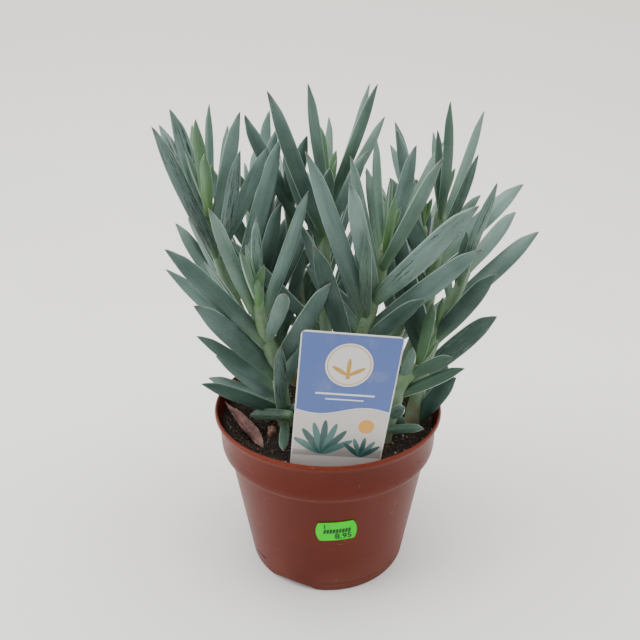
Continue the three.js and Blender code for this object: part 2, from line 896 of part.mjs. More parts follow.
    arc: farArc,
    young: 2,
  },
  {
    name: "leafy_stem_10",
    foot: [-6, 52],
    path: [[303, 320, 58], [296, 270, 63], [291, 225, 67], [290, 200, 69]],
    shown: [
      [307.6, 135.3, 208, 62, near, 11],
      [289, 160, 214, 52, near, 9],
    ],
    ruled: 16,
    arc: backArc,
    young: 3,
  },
];

function shownLeaf([column, row, rootRow, length, side, width], draw) {
  const bow = 0.02 + 0.05 * draw();
  const turn = 30 * (draw() - 0.5);
  return { tip: [column, row], row: rootRow, length, side, width, bow, turn };
}

// Leaves down the back of a stem: lower ones lean out more, upper ones are younger and closer.
function ruledLeaf(k, count, [from, span], first, draw) {
  const share = 0.28 + (0.52 * (k + 0.5)) / count;
  const around = from + ((first + goldenAngle * k) % span);
  return {
    share,
    around,
    away: 48 - 24 * ((k + 0.5) / count) + 8 * (draw() - 0.5),
    length: 74 + 20 * draw(),
    width: 11 + 3 * draw(),
    bow: 0.02 + 0.05 * draw(),
    turn: 30 * (draw() - 0.5),
  };
}

function youngLeaf(k, first, draw) {
  return {
    share: 0.965,
    around: first + goldenAngle * k,
    away: 9 + 5 * k,
    length: 34 + 7 * k + 4 * draw(),
    width: 6 + 0.6 * k,
    bow: 0.03,
    turn: 20 * (draw() - 0.5),
  };
}

// Picks the first way of bending that is clear of all, or else the first that is clear of other stems.
function settle(choices, stemNumber, placed) {
  let fallback = null;
  for (const choice of choices) {
    const pieces = leafPieces(choice);
    const state = crowding(pieces, stemNumber, placed);
    if (state === 0) {
      placed.push({ stem: stemNumber, isStem: false, pieces });
      return choice;
    }
    if (state === 1 && fallback === null) {
      fallback = { choice, pieces };
    }
  }
  if (fallback === null) {
    return null;
  }
  placed.push({ stem: stemNumber, isStem: false, pieces: fallback.pieces });
  return fallback.choice;
}

// All the leaves of all the stems, the shown ones first, each bent clear of those already there.
function growLeaves(curves) {
  const placed = curves.map((curve, n) => ({ stem: n, isStem: true, pieces: stemPieces(curve) }));
  const leaves = stems.map(() => []);
  const grow = (n, choices) => {
    const leaf = settle(choices, n, placed);
    if (leaf !== null) {
      leaves[n].push(leaf);
    }
  };
  stems.forEach((stem, n) => {
    const draw = makeDraw(100 + n);
    for (const row of stem.shown) {
      grow(n, shownChoices(shownLeaf(row, draw), curves[n]));
    }
  });
  stems.forEach((stem, n) => {
    const draw = makeDraw(200 + n);
    const first = 360 * draw();
    for (let k = 0; k < stem.young; k += 1) {
      grow(n, ruledChoices(youngLeaf(k, first, draw), curves[n]));
    }
    for (let k = 0; k < stem.ruled; k += 1) {
      grow(n, ruledChoices(ruledLeaf(k, stem.ruled, stem.arc, first, draw), curves[n]));
    }
  });
  return leaves;
}

function makeStem(curve, leaves) {
  let body = solidFrom(stemTube(curve, 0));
  for (const leaf of leaves) {
    body = body.add(leafSolid(leaf));
  }
  return geometryFrom(body);
}

// The dried leaf lies with one end on the soil and the other against the inside of the lip.
const driedLeaf = { low: [-40, -43], high: [-70, 1, 113], width: 11, thickness: 1.6, lift: 1.1 };

function makeDriedLeaf() {
  const [lowX, lowY] = driedLeaf.low;
  const root = new THREE.Vector3(lowX, lowY, soilHeight(lowX, lowY) + driedLeaf.lift);
  const tip = new THREE.Vector3(...driedLeaf.high);
  const chord = tip.clone().sub(root).normalize();
  const across = new THREE.Vector3().crossVectors(chord, new THREE.Vector3(0, 0, 1)).normalize();
  const flat = new THREE.Vector3().crossVectors(chord, across);
  const middle = root.clone().add(tip).multiplyScalar(0.5);
  const midline = new THREE.QuadraticBezierCurve3(root, middle, tip);
  const stations = [
    [0, 0.3],
    [0.2, 0.85],
    [0.5, 1],
    [0.8, 0.6],
  ];
  const rings = stations.map(([at, reach]) => {
    const centre = midline.getPoint(at);
    const half = (driedLeaf.width / 2) * reach;
    const thick = driedLeaf.thickness / 2;
    const place = (sideways, raise) =>
      centre.clone().addScaledVector(across, sideways).addScaledVector(flat, raise);
    return [place(-half, 0), place(0, -thick), place(half, 0), place(0, thick)];
  });
  rings.push([tip]);
  return loft(rings);
}

function finish(color, roughness) {
  return new THREE.MeshStandardMaterial({ color, roughness, metalness: 0 });
}

function named(name, geometry, material) {
  const mesh = new THREE.Mesh(geometry, material);
  mesh.name = name;
  return mesh;
}

const curves = stems.map(stemCurve);
const leavesByStem = growLeaves(curves);
const holes = curves.map((curve) => solidFrom(stemTube(curve, stemHoleRoom)));
holes.push(solidFrom(makeTag(tagSlotRoom)));

const plant = new THREE.Group();
plant.add(named("pot", makePot(), finish(0x8a4a3a, 0.45)));
plant.add(named("soil", makeSoil(holes), finish(0x2a211c, 0.95)));
stems.forEach((stem, n) => {
  plant.add(named(stem.name, makeStem(curves[n], leavesByStem[n]), finish(0x6f8d84, 0.6)));
});
plant.add(named("plant_tag", makeTag(0), finish(0x7385b8, 0.35)));
plant.add(named("price_label", makeLabel(), finish(0x33cc22, 0.5)));
plant.add(named("dried_leaf", makeDriedLeaf(), finish(0x8a5f58, 0.8)));

export default plant;
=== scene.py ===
import math
from functools import partialmethod
import bmesh
import bpy
import numpy as np
from mathutils import Matrix, Vector, kdtree, noise


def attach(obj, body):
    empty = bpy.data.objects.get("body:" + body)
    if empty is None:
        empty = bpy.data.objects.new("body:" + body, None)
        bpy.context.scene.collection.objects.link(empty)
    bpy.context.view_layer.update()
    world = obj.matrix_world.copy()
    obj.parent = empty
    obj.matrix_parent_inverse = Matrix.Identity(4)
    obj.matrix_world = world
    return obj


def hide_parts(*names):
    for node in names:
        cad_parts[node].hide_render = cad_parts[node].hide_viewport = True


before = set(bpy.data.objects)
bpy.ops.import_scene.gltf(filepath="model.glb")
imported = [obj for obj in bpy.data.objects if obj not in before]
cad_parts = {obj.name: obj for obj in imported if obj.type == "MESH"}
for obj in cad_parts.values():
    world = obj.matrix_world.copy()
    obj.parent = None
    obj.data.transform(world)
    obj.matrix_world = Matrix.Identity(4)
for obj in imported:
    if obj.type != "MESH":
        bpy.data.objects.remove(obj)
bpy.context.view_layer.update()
print("frame loaded:", len(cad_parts), "nodes")

mm = 0.001
goldenAngle = 137.508
sharpAngle = math.radians(40)

# A pinhole view on a square frame of 640 columns and rows; lengths in mm, turns in degrees
view = {"eye": (0, -389.3, 342.4), "pitch": 23.36, "yaw": -0.75, "roll": -0.18, "focal": 660, "middle": 320}


def viewAxes():
    pitch, yaw, roll = (math.radians(view[turn]) for turn in ("pitch", "yaw", "roll"))
    ahead = np.array((math.sin(yaw) * math.cos(pitch), math.cos(yaw) * math.cos(pitch), -math.sin(pitch)))
    level = np.array((math.cos(yaw), -math.sin(yaw), 0))
    upright = np.cross(level, ahead)
    right = level * math.cos(roll) + upright * math.sin(roll)
    up = upright * math.cos(roll) - level * math.sin(roll)
    return ahead, right, up


eye = np.array(view["eye"], float)
ahead, right, up = viewAxes()


def addObject(name, data):
    made = bpy.data.objects.new(name, data)
    bpy.context.scene.collection.objects.link(made)
    return made


def makeCamera():
    camera = addObject("camera", bpy.data.cameras.new("camera"))
    turned = Matrix((right, up, -ahead)).transposed().to_4x4()
    camera.matrix_world = Matrix.Translation(Vector(eye * mm)) @ turned
    camera.data.angle = 2 * math.atan(view["middle"] / view["focal"])
    camera.data.clip_start = 0.01
    bpy.context.scene.camera = camera


makeCamera()


# One socket of a node tree, so that node maths can be written as sums and products
class Wire:
    def __init__(self, graph, socket):
        self.graph = graph
        self.socket = socket
        self.isVector = socket.type in ("VECTOR", "RGBA")

    def join(self, operation, other, swapped=False):
        pair = (other, self) if swapped else (self, other)
        return self.graph.maths(operation, *pair)

    __add__ = partialmethod(join, "ADD")
    __radd__ = partialmethod(join, "ADD", swapped=True)
    __sub__ = partialmethod(join, "SUBTRACT")
    __rsub__ = partialmethod(join, "SUBTRACT", swapped=True)
    __mul__ = partialmethod(join, "MULTIPLY")
    __rmul__ = partialmethod(join, "MULTIPLY", swapped=True)
    __truediv__ = partialmethod(join, "DIVIDE")
    __rtruediv__ = partialmethod(join, "DIVIDE", swapped=True)
    __pow__ = partialmethod(join, "POWER")
    __gt__ = partialmethod(join, "GREATER_THAN")
    atMost = partialmethod(join, "MINIMUM")
    atLeast = partialmethod(join, "MAXIMUM")

    def __abs__(self):
        return self.graph.maths("ABSOLUTE", self)

    # 0 below low, 1 above high, with a smooth step between them
    def step(self, low, high):
        settings = {"interpolation_type": "SMOOTHSTEP"}
        return self.graph.node("ShaderNodeMapRange", settings, {0: self, 1: low, 2: high})

    # 1 near a value and 0 further than a distance from it
    def near(self, value, distance):
        return 1 - abs(self - value).step(distance * 0.4, distance)

    def parts(self):
        split = self.graph.node("ShaderNodeSeparateXYZ", {}, {0: self})
        return [Wire(self.graph, socket) for socket in split.socket.node.outputs]


# A node tree, with one method that makes any node and a few short ways to common ones
class Graph:
    def __init__(self, tree):
        self.tree = tree

    def node(self, kind, settings=None, sockets=None, output=0):
        made = self.tree.nodes.new(kind)
        for name, value in (settings or {}).items():
            if name == "curve":
                self.setCurve(made.mapping, value)
            else:
                setattr(made, name, value)
        for key, value in (sockets or {}).items():
            for item in value if isinstance(value, list) else [value]:
                self.feed(made.inputs[key], item)
        return Wire(self, made.outputs[output])

    def setCurve(self, mapping, places):
        points = mapping.curves[0].points
        while len(points) < len(places):
            points.new(1, 1)
        for point, place in zip(points, places):
            point.location = place
        mapping.update()

    def feed(self, socket, value):
        if isinstance(value, Wire):
            self.tree.links.new(value.socket, socket)
        elif socket.type == "VECTOR" and isinstance(value, (int, float)):
            socket.default_value = (value, value, value)
        else:
            socket.default_value = value

    def maths(self, operation, *values):
        isVector = any(getattr(value, "isVector", isinstance(value, tuple)) for value in values)
        kind = "ShaderNodeVectorMath" if isVector else "ShaderNodeMath"
        return self.node(kind, {"operation": operation}, dict(enumerate(values)))

    def vector(self, x, y, z):
        return self.node("ShaderNodeCombineXYZ", {}, {0: x, 1: y, 2: z})

    def mix(self, factor, low, high):
        return self.node("ShaderNodeMix", {"data_type": "RGBA"}, {0: factor, 6: low, 7: high}, 2)

    # Colours by name, laid over the first colour: each layer is how much of it shows, and its name
    def paint(self, look, colour, *layers):
        for share, name in layers:
            colour = self.mix(share, colour, look[name])
        return colour

    def noise(self, place, scale, detail=2, roughness=0.5):
        sockets = {"Vector": place, "Scale": scale, "Detail": detail, "Roughness": roughness}
        return self.node("ShaderNodeTexNoise", {}, sockets)

    # How far each place is from the nearest of many scattered dots
    def dots(self, place, scale):
        return self.node("ShaderNodeTexVoronoi", {}, {"Vector": place, "Scale": scale}, "Distance")

    # The three numbers that a mesh keeps at each of its points, for a shader
    def kept(self, name):
        return self.node("ShaderNodeAttribute", {"attribute_name": name}, {}, "Vector").parts()

    # Sockets that the user of a geometry tree can set: the geometry, sizes with their values, and materials
    def inputs(self, sizes, *materials):
        def add(name, kind):
            return self.tree.interface.new_socket(name, in_out="INPUT", socket_type=f"NodeSocket{kind}")

        add("Geometry", "Geometry")
        for name, value in sizes.items():
            add(name, "Int" if isinstance(value, int) else "Float").default_value = value
        for name in materials:
            add(name, "Material")
        source = self.tree.nodes.new("NodeGroupInput")
        return {name: Wire(self, source.outputs[name]) for name in ("Geometry", *sizes, *materials)}

    def finish(self, geometry):
        self.tree.interface.new_socket("Geometry", in_out="OUTPUT", socket_type="NodeSocketGeometry")
        sink = self.tree.nodes.new("NodeGroupOutput")
        self.feed(sink.inputs[0], geometry)
        return self.tree

    def attribute(self, name, kind="FLOAT"):
        return self.node("GeometryNodeInputNamedAttribute", {"data_type": kind}, {0: name})

    def store(self, geometry, name, value, kind="FLOAT"):
        settings = {"data_type": kind, "domain": "POINT"}
        return self.node("GeometryNodeStoreNamedAttribute", settings, {0: geometry, 2: name, 3: value})

    def dress(self, geometry, material):
        return self.node("GeometryNodeSetMaterial", {}, {0: geometry, 2: material})

    def turn(self, geometry, turns):
        return self.node("GeometryNodeTransform", {}, {0: geometry, 2: turns})

    # Copies of a shape at points; more holds other sockets of the node, by their number
    def copies(self, points, shape, more=None):
        return self.node("GeometryNodeInstanceOnPoints", {}, {0: points, 2: shape, **(more or {})})

    # Joins pieces and makes their copies real
    def whole(self, *pieces):
        joined = self.node("GeometryNodeJoinGeometry", {}, {0: list(pieces)})
        return self.node("GeometryNodeRealizeInstances", {}, {0: joined})


def geometryGraph(name):
    return Graph(bpy.data.node_groups.new(name, "GeometryNodeTree"))


# Puts a geometry tree on a mesh, sets its named inputs, and gives back the plain mesh that it makes
def grow(name, mesh, tree, wanted):
    holder = addObject(name, mesh)
    modifier = holder.modifiers.new("grow", "NODES")
    modifier.node_group = tree
    for item in tree.interface.items_tree:
        if item.in_out == "INPUT" and item.name in wanted:
            modifier[item.identifier] = wanted[item.name]
    scene = bpy.context.evaluated_depsgraph_get()
    plain = bpy.data.meshes.new_from_object(holder.evaluated_get(scene), preserve_all_data_layers=True,
                                            depsgraph=scene)
    bpy.data.objects.remove(holder)
    return plain


def addPiece(name, mesh, slot, *nodes):
    piece = addObject(name, mesh)
    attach(piece, "root")
    if nodes:
        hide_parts(*nodes)


def smoothMesh(name, vertices, faces):
    mesh = bpy.data.meshes.new(name)
    mesh.from_pydata(vertices, [], faces)
    mesh.polygons.foreach_set("use_smooth", [True] * len(mesh.polygons))
    return mesh


def finishedMesh(name, made):
    mesh = bpy.data.meshes.new(name)
    made.to_mesh(mesh)
    made.free()
    return mesh


# Keeps a number, or three, at each point of a mesh
def keepAtPoints(mesh, label, values):
    values = np.array(values, np.float32)
    kind, slot = ("FLOAT", "value") if values.ndim == 1 else ("FLOAT_VECTOR", "vector")
    mesh.attributes.new(label, kind, "POINT").data.foreach_set(slot, values.ravel())


# A colour as seen on a screen, 0 to 255, for a shader
def tone(*parts):
    return (*(((part / 255 + 0.055) / 1.055) ** 2.4 if part > 10 else part / 3295 for part in parts), 1)


# A new material, its empty tree, and the place on the piece that its patterns follow
def shaderGraph(name):
    material = bpy.data.materials.new(name)
    material.use_nodes = True
    material.node_tree.nodes.clear()
    graph = Graph(material.node_tree)
    return material, graph, graph.node("ShaderNodeTexCoord", {}, {}, "Object")


# Ends a material. The relief is its strength, its depth in mm and its height; constant values go straight
# on the shader's own sockets
def coat(graph, colour, roughness, relief, **fixed):
    strength, depth, height = relief
    sockets = {"Strength": strength, "Distance": depth * mm, "Height": height}
    bump = graph.node("ShaderNodeBump", {}, sockets)
    sockets = {"Base Color": colour, "Roughness": roughness, "Normal": bump}
    sockets.update({name.replace("_", " "): value for name, value in fixed.items()})
    shader = graph.node("ShaderNodeBsdfPrincipled", {}, sockets)
    sink = graph.tree.nodes.new("ShaderNodeOutputMaterial")
    graph.feed(sink.inputs["Surface"], shader)


# A tip stands nearer than its root, or further off
near = -1
far = 1

# Where leaves placed by rule grow round a stem: the start and the span, in degrees from its right side
farArc = (24, 132)
backArc = (-20, 220)

# Leaves and stems, in mm and degrees. A leaf is found again among the ways it may bend, by where its tip
# stands in the frame
leafForm = {
    "stemBase": 4.3, "stemTop": 2.5, "stemDepth": 20, "soilLevel": 104, "soilHeap": 3.5,
    "halfThickness": 2, "thinnest": 0.4, "thickenOver": 20, "shortest": 22, "tipTolerance": 0.02,
    "stretches": (0, -4, 4, -8, 8, -13, 13, -18, 18, 24),
    "swings": (0, 12, -12, 24, -24, 36, -36), "leans": (0, 9, -9), "shorter": (1, 0.82),
    "bow": 0.02, "bowSpread": 0.05, "turnSpread": 30, "movedBow": 0.03, "ridge": 0.3, "ridgeSpread": 0.6,
    "freshYouth": 0.9, "slimYouth": 0.12, "slim": 10, "shownSeed": 100, "ruledSeed": 200, "looksSeed": 300,
}

# Leaves placed by rule: shares up the stem, degrees and mm, with what each draw may add. Youth is 0 for an
# old leaf and 1 for the newest
ruledForm = {
    "lowest": 0.28, "climb": 0.52, "away": 48, "closing": 24, "awaySpread": 8, "length": 74, "longer": 20,
    "width": 11, "wider": 3, "rubbed": 0.35,
}
youngForm = {
    "share": 0.965, "away": 9, "opening": 5, "length": 34, "longer": 7, "lengthSpread": 4, "width": 6,
    "wider": 0.6, "bow": 0.03, "turnSpread": 20, "youth": 0.65, "ageing": 0.3,
}

# Per stem: the foot on the soil in mm, then column, row and depth of points up the stem. "shown" leaves
# have the tip's column and row, the root's row, length in mm, the tip's side and width in mm. The rest
# counts the shown leaves: "fresh" are young and green, "rubbed" lost their bloom in streaks by an amount,
# "blunt" have a rounded tip. Counted over all leaves, "moved" have their root or tip at another column,
# row and depth, and some another width, and "fallen" are left out.
plainStem = {"fresh": (), "rubbed": {}, "blunt": (), "moved": {}, "fallen": ()}
stems = [
    {
        "foot": (-33, 14),
        "path": [(262, 358, 12), (244, 322, 8), (226, 281, 5), (212, 232, 3), (207, 202, 2)],
        "shown": [
            (151, 126, 262, 94, near, 11), (158.5, 124.5, 250, 90, far, 13), (169, 108.5, 232, 84, near, 12),
            (195.5, 118.5, 222, 66, near, 9), (192, 124, 226, 66, far, 9), (209.3, 103.2, 218, 76, far, 6.5),
            (205, 153, 214, 42, near, 8), (228, 125, 236, 76, far, 8), (240.3, 111, 240, 84, near, 11),
            (240.5, 150, 262, 80, near, 10), (175, 223, 308, 80, far, 12),
        ],
        "ruled": 6, "arc": farArc, "young": 2, "fresh": (3, 4, 6),
        "rubbed": {0: 1.2, 1: 1.5, 2: 1, 9: 1.2}, "moved": {17: ((236, 297, 9), (282, 136, 21), 14)},
    },
    {
        "foot": (-28, -16),
        "path": [(279, 378, -22), (270, 350, -30), (262, 325, -36), (257, 298, -41)],
        "shown": [
            (164, 249, 330, 78, far, 13.5), (165, 269, 340, 82, near, 11), (193, 305.5, 364, 72, near, 15.5),
            (196, 336, 374, 66, far, 11), (215, 355.5, 396, 58, far, 12), (208, 378, 406, 60, far, 11.5),
            (201, 384, 412, 62, near, 10.5), (208, 208, 318, 80, near, 8.5), (256.5, 217, 310, 62, near, 7.8),
            (252, 236, 314, 56, far, 10), (246, 265, 312, 36, near, 7), (258, 279, 308, 24, near, 6),
            (251, 313, 348, 40, far, 8), (309, 190, 322, 88, far, 10), (285, 294, 340, 52, near, 10.5),
            (331, 283, 366, 72, near, 13), (281.5, 345.5, 392, 46, near, 10),
            (249.5, 416, 410, 26, near, 9), (298, 408, 414, 14, near, 8), (283.5, 451, 420, 27, near, 8),
        ],
        "ruled": 4, "arc": farArc, "young": 3, "fresh": (10, 11), "blunt": (14,),
        "rubbed": {8: 1, 16: 1, 17: 1.2}, "fallen": (22, 25, 26),
        "moved": {
            0: ((265, 342, -34), (164, 249, -50)), 1: ((271, 360, -20), (165, 269, 4)),
            2: ((277, 376, -25), (193, 305.5, -54)), 3: ((282, 391, -17), (196, 336, 4)),
            4: ((285, 406, -15), (215, 355.5, 8)), 16: ((281, 411, -24), None),
            7: ((252.5, 312, -38), None, 9.5), 17: ((292, 415, -34), None),
            23: ((282, 392, -16), (303, 336, 8)),
        },
    },
    {
        "foot": (-22, 38),
        "path": [(270, 340, 42), (258, 290, 46), (253, 250, 49), (253, 212, 51)],
        "shown": [
            (244, 113.5, 222, 78, near, 11.5), (257, 145, 240, 70, far, 12), (269.7, 110, 222, 80, far, 11),
            (278, 127, 232, 76, near, 11), (282, 135.5, 268, 96, near, 14),
            (281.5, 202.5, 292, 70, near, 12.5), (291, 212, 300, 74, far, 11.5),
        ],
        "ruled": 11, "arc": backArc, "young": 3, "rubbed": {3: 1}, "fallen": (0, 4),
    },
    {
        "foot": (13, -18),
        "path": [(358, 355, -24), (367, 322, -25), (376, 290, -25), (383, 262, -24), (387, 240, -23)],
        "shown": [
            (305, 151, 318, 108, near, 12.5), (350, 155.5, 282, 80, near, 8), (366, 167.5, 264, 64, far, 9),
            (375.5, 134.5, 256, 78, far, 7), (349.5, 183, 292, 74, near, 12),
            (365.5, 233, 322, 66, near, 8.5), (444, 157, 272, 86, near, 9), (444, 141.3, 264, 92, far, 9.5),
            (480, 205.5, 302, 96, near, 15), (395, 195, 258, 44, near, 6), (416.8, 144.5, 256, 82, far, 10.5),
            (483.5, 249, 336, 86, near, 15), (425.5, 299, 348, 52, near, 12),
            (312.5, 245, 342, 78, near, 14), (305, 265, 334, 66, far, 11),
        ],
        "ruled": 4, "arc": farArc, "young": 3, "fresh": (9,),
        "rubbed": {5: 1, 8: 0.55, 13: 0.2}, "moved": {13: ((351, 360, -27), None)},
    },
    {
        "foot": (2, 22),
        "path": [(326, 335, 26), (325, 285, 29), (325, 240, 31), (328, 195, 33)],
        "shown": [
            (307.5, 82.5, 205, 84, near, 8.5), (328.7, 116.3, 204, 62, far, 7),
            (320.6, 126.5, 200, 54, near, 8), (336.5, 150, 202, 38, far, 7),
            (330.5, 168, 212, 46, near, 9), (370, 83, 208, 90, far, 7.5),
            (378.3, 83, 212, 92, near, 8.5), (385.4, 116, 216, 84, far, 9), (368, 151, 232, 66, near, 10.5),
            (266.5, 90, 238, 110, near, 12), (293.5, 155, 242, 70, near, 9),
        ],
        "ruled": 11, "arc": backArc, "young": 0, "fresh": (2, 3), "fallen": (18,),
    },
    {
        "foot": (56, -13),
        "path": [(418, 391, -12), (427, 357, -10), (441, 322, -8), (458, 290, -6), (468, 264, -5)],
        "shown": [
            (516, 212, 272, 62, far, 11.5), (497.3, 182, 288, 86, near, 8),
            (539.5, 231.5, 314, 84, far, 14.5), (496.5, 274, 342, 62, near, 14),
            (466.5, 231, 292, 42, near, 7), (443.5, 252, 304, 44, far, 7),
            (497.5, 316.5, 376, 66, far, 16.5), (442.5, 297, 330, 26, near, 5),
            (432.5, 302, 364, 46, near, 9), (456.5, 377.5, 410, 42, near, 12.5),
        ],
        "ruled": 7, "arc": farArc, "young": 2, "fresh": (7,), "rubbed": {1: 1, 6: 0.6},
        "fallen": (8,),
        "moved": {9: ((417, 421, -12), None, 14), 13: ((419, 398, -10), (447, 364, 8))},
    },
    {
        "foot": (26, 36),
        "path": [(398, 330, 40), (411, 285, 44), (419, 250, 47), (424, 222, 49)],
        "shown": [
            (394.7, 121.3, 232, 86, far, 10), (396.2, 129, 240, 84, near, 10), (390, 144.5, 234, 76, far, 10),
            (405, 200.5, 268, 56, near, 11), (428, 205, 272, 54, near, 11),
        ],
        "ruled": 11, "arc": backArc, "young": 2,
    },
    {
        "foot": (42, 12),
        "path": [(420, 330, 15), (431, 285, 17), (438, 240, 18), (441, 205, 18)],
        "shown": [
            (433, 131.5, 214, 56, far, 6), (437.4, 129.5, 212, 56, near, 6),
            (450.7, 100.5, 222, 80, near, 7.5), (484.7, 110, 236, 90, far, 8),
            (479, 154, 246, 68, near, 7.5), (524, 184, 264, 100, far, 15),
            (481, 195, 244, 60, far, 8.5), (443, 172, 212, 28, near, 7),
        ],
        "ruled": 10, "arc": backArc, "young": 0, "fresh": (7,), "rubbed": {4: 1},
    },
    {
        "foot": (36, -34),
        "path": [(400, 386, -36), (411, 374, -35), (419, 364, -33)],
        "shown": [
            (465, 368.5, 396, 46, near, 9), (452, 357, 376, 26, near, 9), (412.5, 347, 384, 26, near, 8),
            (405, 408, 416, 24, near, 9), (403, 424, 416, 18, far, 8), (424, 429, 424, 28, near, 7),
        ],
        "ruled": 0, "arc": farArc, "young": 2, "rubbed": {3: 1}, "fallen": (6,),
        "moved": {5: ((386, 430, -36), None), 7: (None, (432.5, 302, -28), 8.5)},
    },
    {
        "foot": (-6, 52),
        "path": [(303, 320, 58), (296, 270, 63), (291, 225, 67), (290, 200, 69)],
        "shown": [(307.6, 135.3, 208, 62, near, 11), (289, 160, 214, 52, near, 9)],
        "ruled": 16, "arc": backArc, "young": 3, "moved": {13: ((295, 218, 66), (244.5, 114, 26), 12.5)},
    },
]


# A small repeatable random draw from 0 to 1
def makeDraw(seed):
    state = [seed]

    def draw():
        state[0] = (state[0] * 1664525 + 1013904223) % 4294967296
        return state[0] / 4294967296
    return draw


def unit(vector):
    return vector / np.linalg.norm(vector)


# The direction of the sight line through a column and row of the frame
def sightLine(column, row):
    middle, focal = view["middle"], view["focal"]
    return ahead + right * (column - middle) / focal - up * (row - middle) / focal


def pointAtDepth(column, row, y):
    line = sightLine(column, row)
    return eye + line * (y - eye[1]) / line[1]


def rowOf(point):
    away = point - eye
    return view["middle"] - view["focal"] * (away @ up) / (away @ ahead)


# The point on a sight line at a distance from a root, on its nearer or farther side
def tipOnSight(column, row, root, distance, side):
    line = unit(sightLine(column, row))
    toRoot = root - eye
    along = toRoot @ line
    half = math.sqrt(max(distance ** 2 - toRoot @ toRoot + along ** 2, 0))
    return eye + line * (along + side * half)


# A smooth curve through points, read by its share from 0 at the foot to 1 at the top
class StemCurve:
    def __init__(self, stem):
        x, y = stem["foot"]
        level = leafForm["soilLevel"]
        foot = [(x, y, level - leafForm["stemDepth"]), (x, y, level + leafForm["soilHeap"])]
        self.points = [np.array(point, float) for point in foot]
        self.points += [pointAtDepth(*place) for place in stem["path"]]

    def at(self, share):
        points = self.points
        last = len(points) - 1
        start = min(int(share * last), last - 1)
        t = share * last - start
        p1, p2 = points[start], points[start + 1]
        p0 = points[start - 1] if start > 0 else 2 * points[0] - points[1]
        p3 = points[start + 2] if start + 2 <= last else 2 * points[last] - points[last - 1]
        leave, arrive = (p2 - p0) / 2, (p3 - p1) / 2
        bend = (3 * (p2 - p1) - 2 * leave - arrive) * t ** 2 + (2 * (p1 - p2) + leave + arrive) * t ** 3
        return p1 + leave * t + bend

    def heading(self, share):
        step = 1e-4
        return unit(self.at(min(share + step, 1)) - self.at(max(share - step, 0)))

    def shareAtRow(self, row):
        low, high = 0, 1
        for _ in range(30):
            middle = (low + high) / 2
            if rowOf(self.at(middle)) > row:
                low = middle
            else:
                high = middle
        return (low + high) / 2


# A bowed midline from root to tip, and a blade whose rounder edge is the upper one
def leafFrame(root, tip, upper, width, bow, turn):
    length = np.linalg.norm(tip - root)
    chord = (tip - root) / length
    across = unit(upper - chord * (upper @ chord))
    across = across * math.cos(math.radians(turn)) + np.cross(chord, across) * math.sin(math.radians(turn))
    middle = (root + tip) / 2 - across * bow * length
    return {"root": root, "middle": middle, "tip": tip, "across": across, "flat": np.cross(chord, across),
            "width": width, "length": length}


# Drawn: how far a blade bows, as a share of its length, and how far it turns about it, in degrees
def bowAndTurn(draw):
    return leafForm["bow"] + leafForm["bowSpread"] * draw(), leafForm["turnSpread"] * (draw() - 0.5)


# The upper side of a leaf that lies flat to the view, on the same side as another direction
def flatToView(root, tip, towards):
    upper = unit(np.cross(tip - root, tip - eye))
    return upper if upper @ towards >= 0 else -upper


# The direction that leaves a stem's axis by one angle, on the side that another angle round it gives
def leaning(axis, around, away):
    around, away = math.radians(around), math.radians(away)
    side = unit(np.array((1, 0, 0)) - axis * axis[0])
    outward = side * math.cos(around) + np.cross(axis, side) * math.sin(around)
    return axis * math.cos(away) + outward * math.sin(away)


def shownChoices(row, curve, draw):
    column, tipRow, rootRow, length, side, width = row
    bow, turn = bowAndTurn(draw)
    share = curve.shareAtRow(rootRow)
    root, axis = curve.at(share), curve.heading(share)
    for towards in (side, -side):
        for stretch in leafForm["stretches"]:
            tip = tipOnSight(column, tipRow, root, max(length + stretch, leafForm["shortest"]), towards)
            yield leafFrame(root, tip, flatToView(root, tip, axis), width, bow, turn)


def ruledChoices(leaf, curve):
    root, axis = curve.at(leaf["share"]), curve.heading(leaf["share"])
    for shorter in leafForm["shorter"]:
        for lean in leafForm["leans"]:
            for swing in leafForm["swings"]:
                heading = leaning(axis, leaf["around"] + swing, leaf["away"] + lean)
                tip = root + heading * leaf["length"] * shorter
                yield leafFrame(root, tip, axis, leaf["width"], leaf["bow"], leaf["turn"])


def ruledLeaf(k, stem, first, draw):
    form = ruledForm
    start, span = stem["arc"]
    upwards = (k + 0.5) / stem["ruled"]
    away = form["away"] - form["closing"] * upwards + form["awaySpread"] * (draw() - 0.5)
    length = form["length"] + form["longer"] * draw()
    width = form["width"] + form["wider"] * draw()
    bow, turn = bowAndTurn(draw)
    return {"share": form["lowest"] + form["climb"] * upwards, "away": away, "length": length,
            "around": start + (first + goldenAngle * k) % span, "width": width, "bow": bow, "turn": turn}


def youngLeaf(k, first, draw):
    form = youngForm
    return {"share": form["share"], "around": first + goldenAngle * k,
            "away": form["away"] + form["opening"] * k, "width": form["width"] + form["wider"] * k,
            "length": form["length"] + form["longer"] * k + form["lengthSpread"] * draw(),
            "bow": form["bow"], "turn": form["turnSpread"] * (draw() - 0.5)}


# Small leaves folded round the growing point, too fine for the frame
bud = {
    "leaves": 4, "share": 0.985, "length": 15, "longer": 3.5, "width": 4.6, "away": 5, "opening": 4,
    "bow": 0.04,
}


def budLeaf(k, curve, draw):
    root, axis = curve.at(bud["share"]), curve.heading(bud["share"])
    heading = leaning(axis, 360 * draw() + goldenAngle * k, bud["away"] + bud["opening"] * k)
    tip = root + heading * (bud["length"] + bud["longer"] * k)
    return leafFrame(root, tip, axis, bud["width"], bud["bow"], 0)


# The first way of bending whose tip stands at a corner of the frame's own stem
def standing(choices, corners):
    for choice in choices:
        if corners.find(Vector(choice["tip"] * mm))[2] < leafForm["tipTolerance"] * mm:
            return choice
    return None


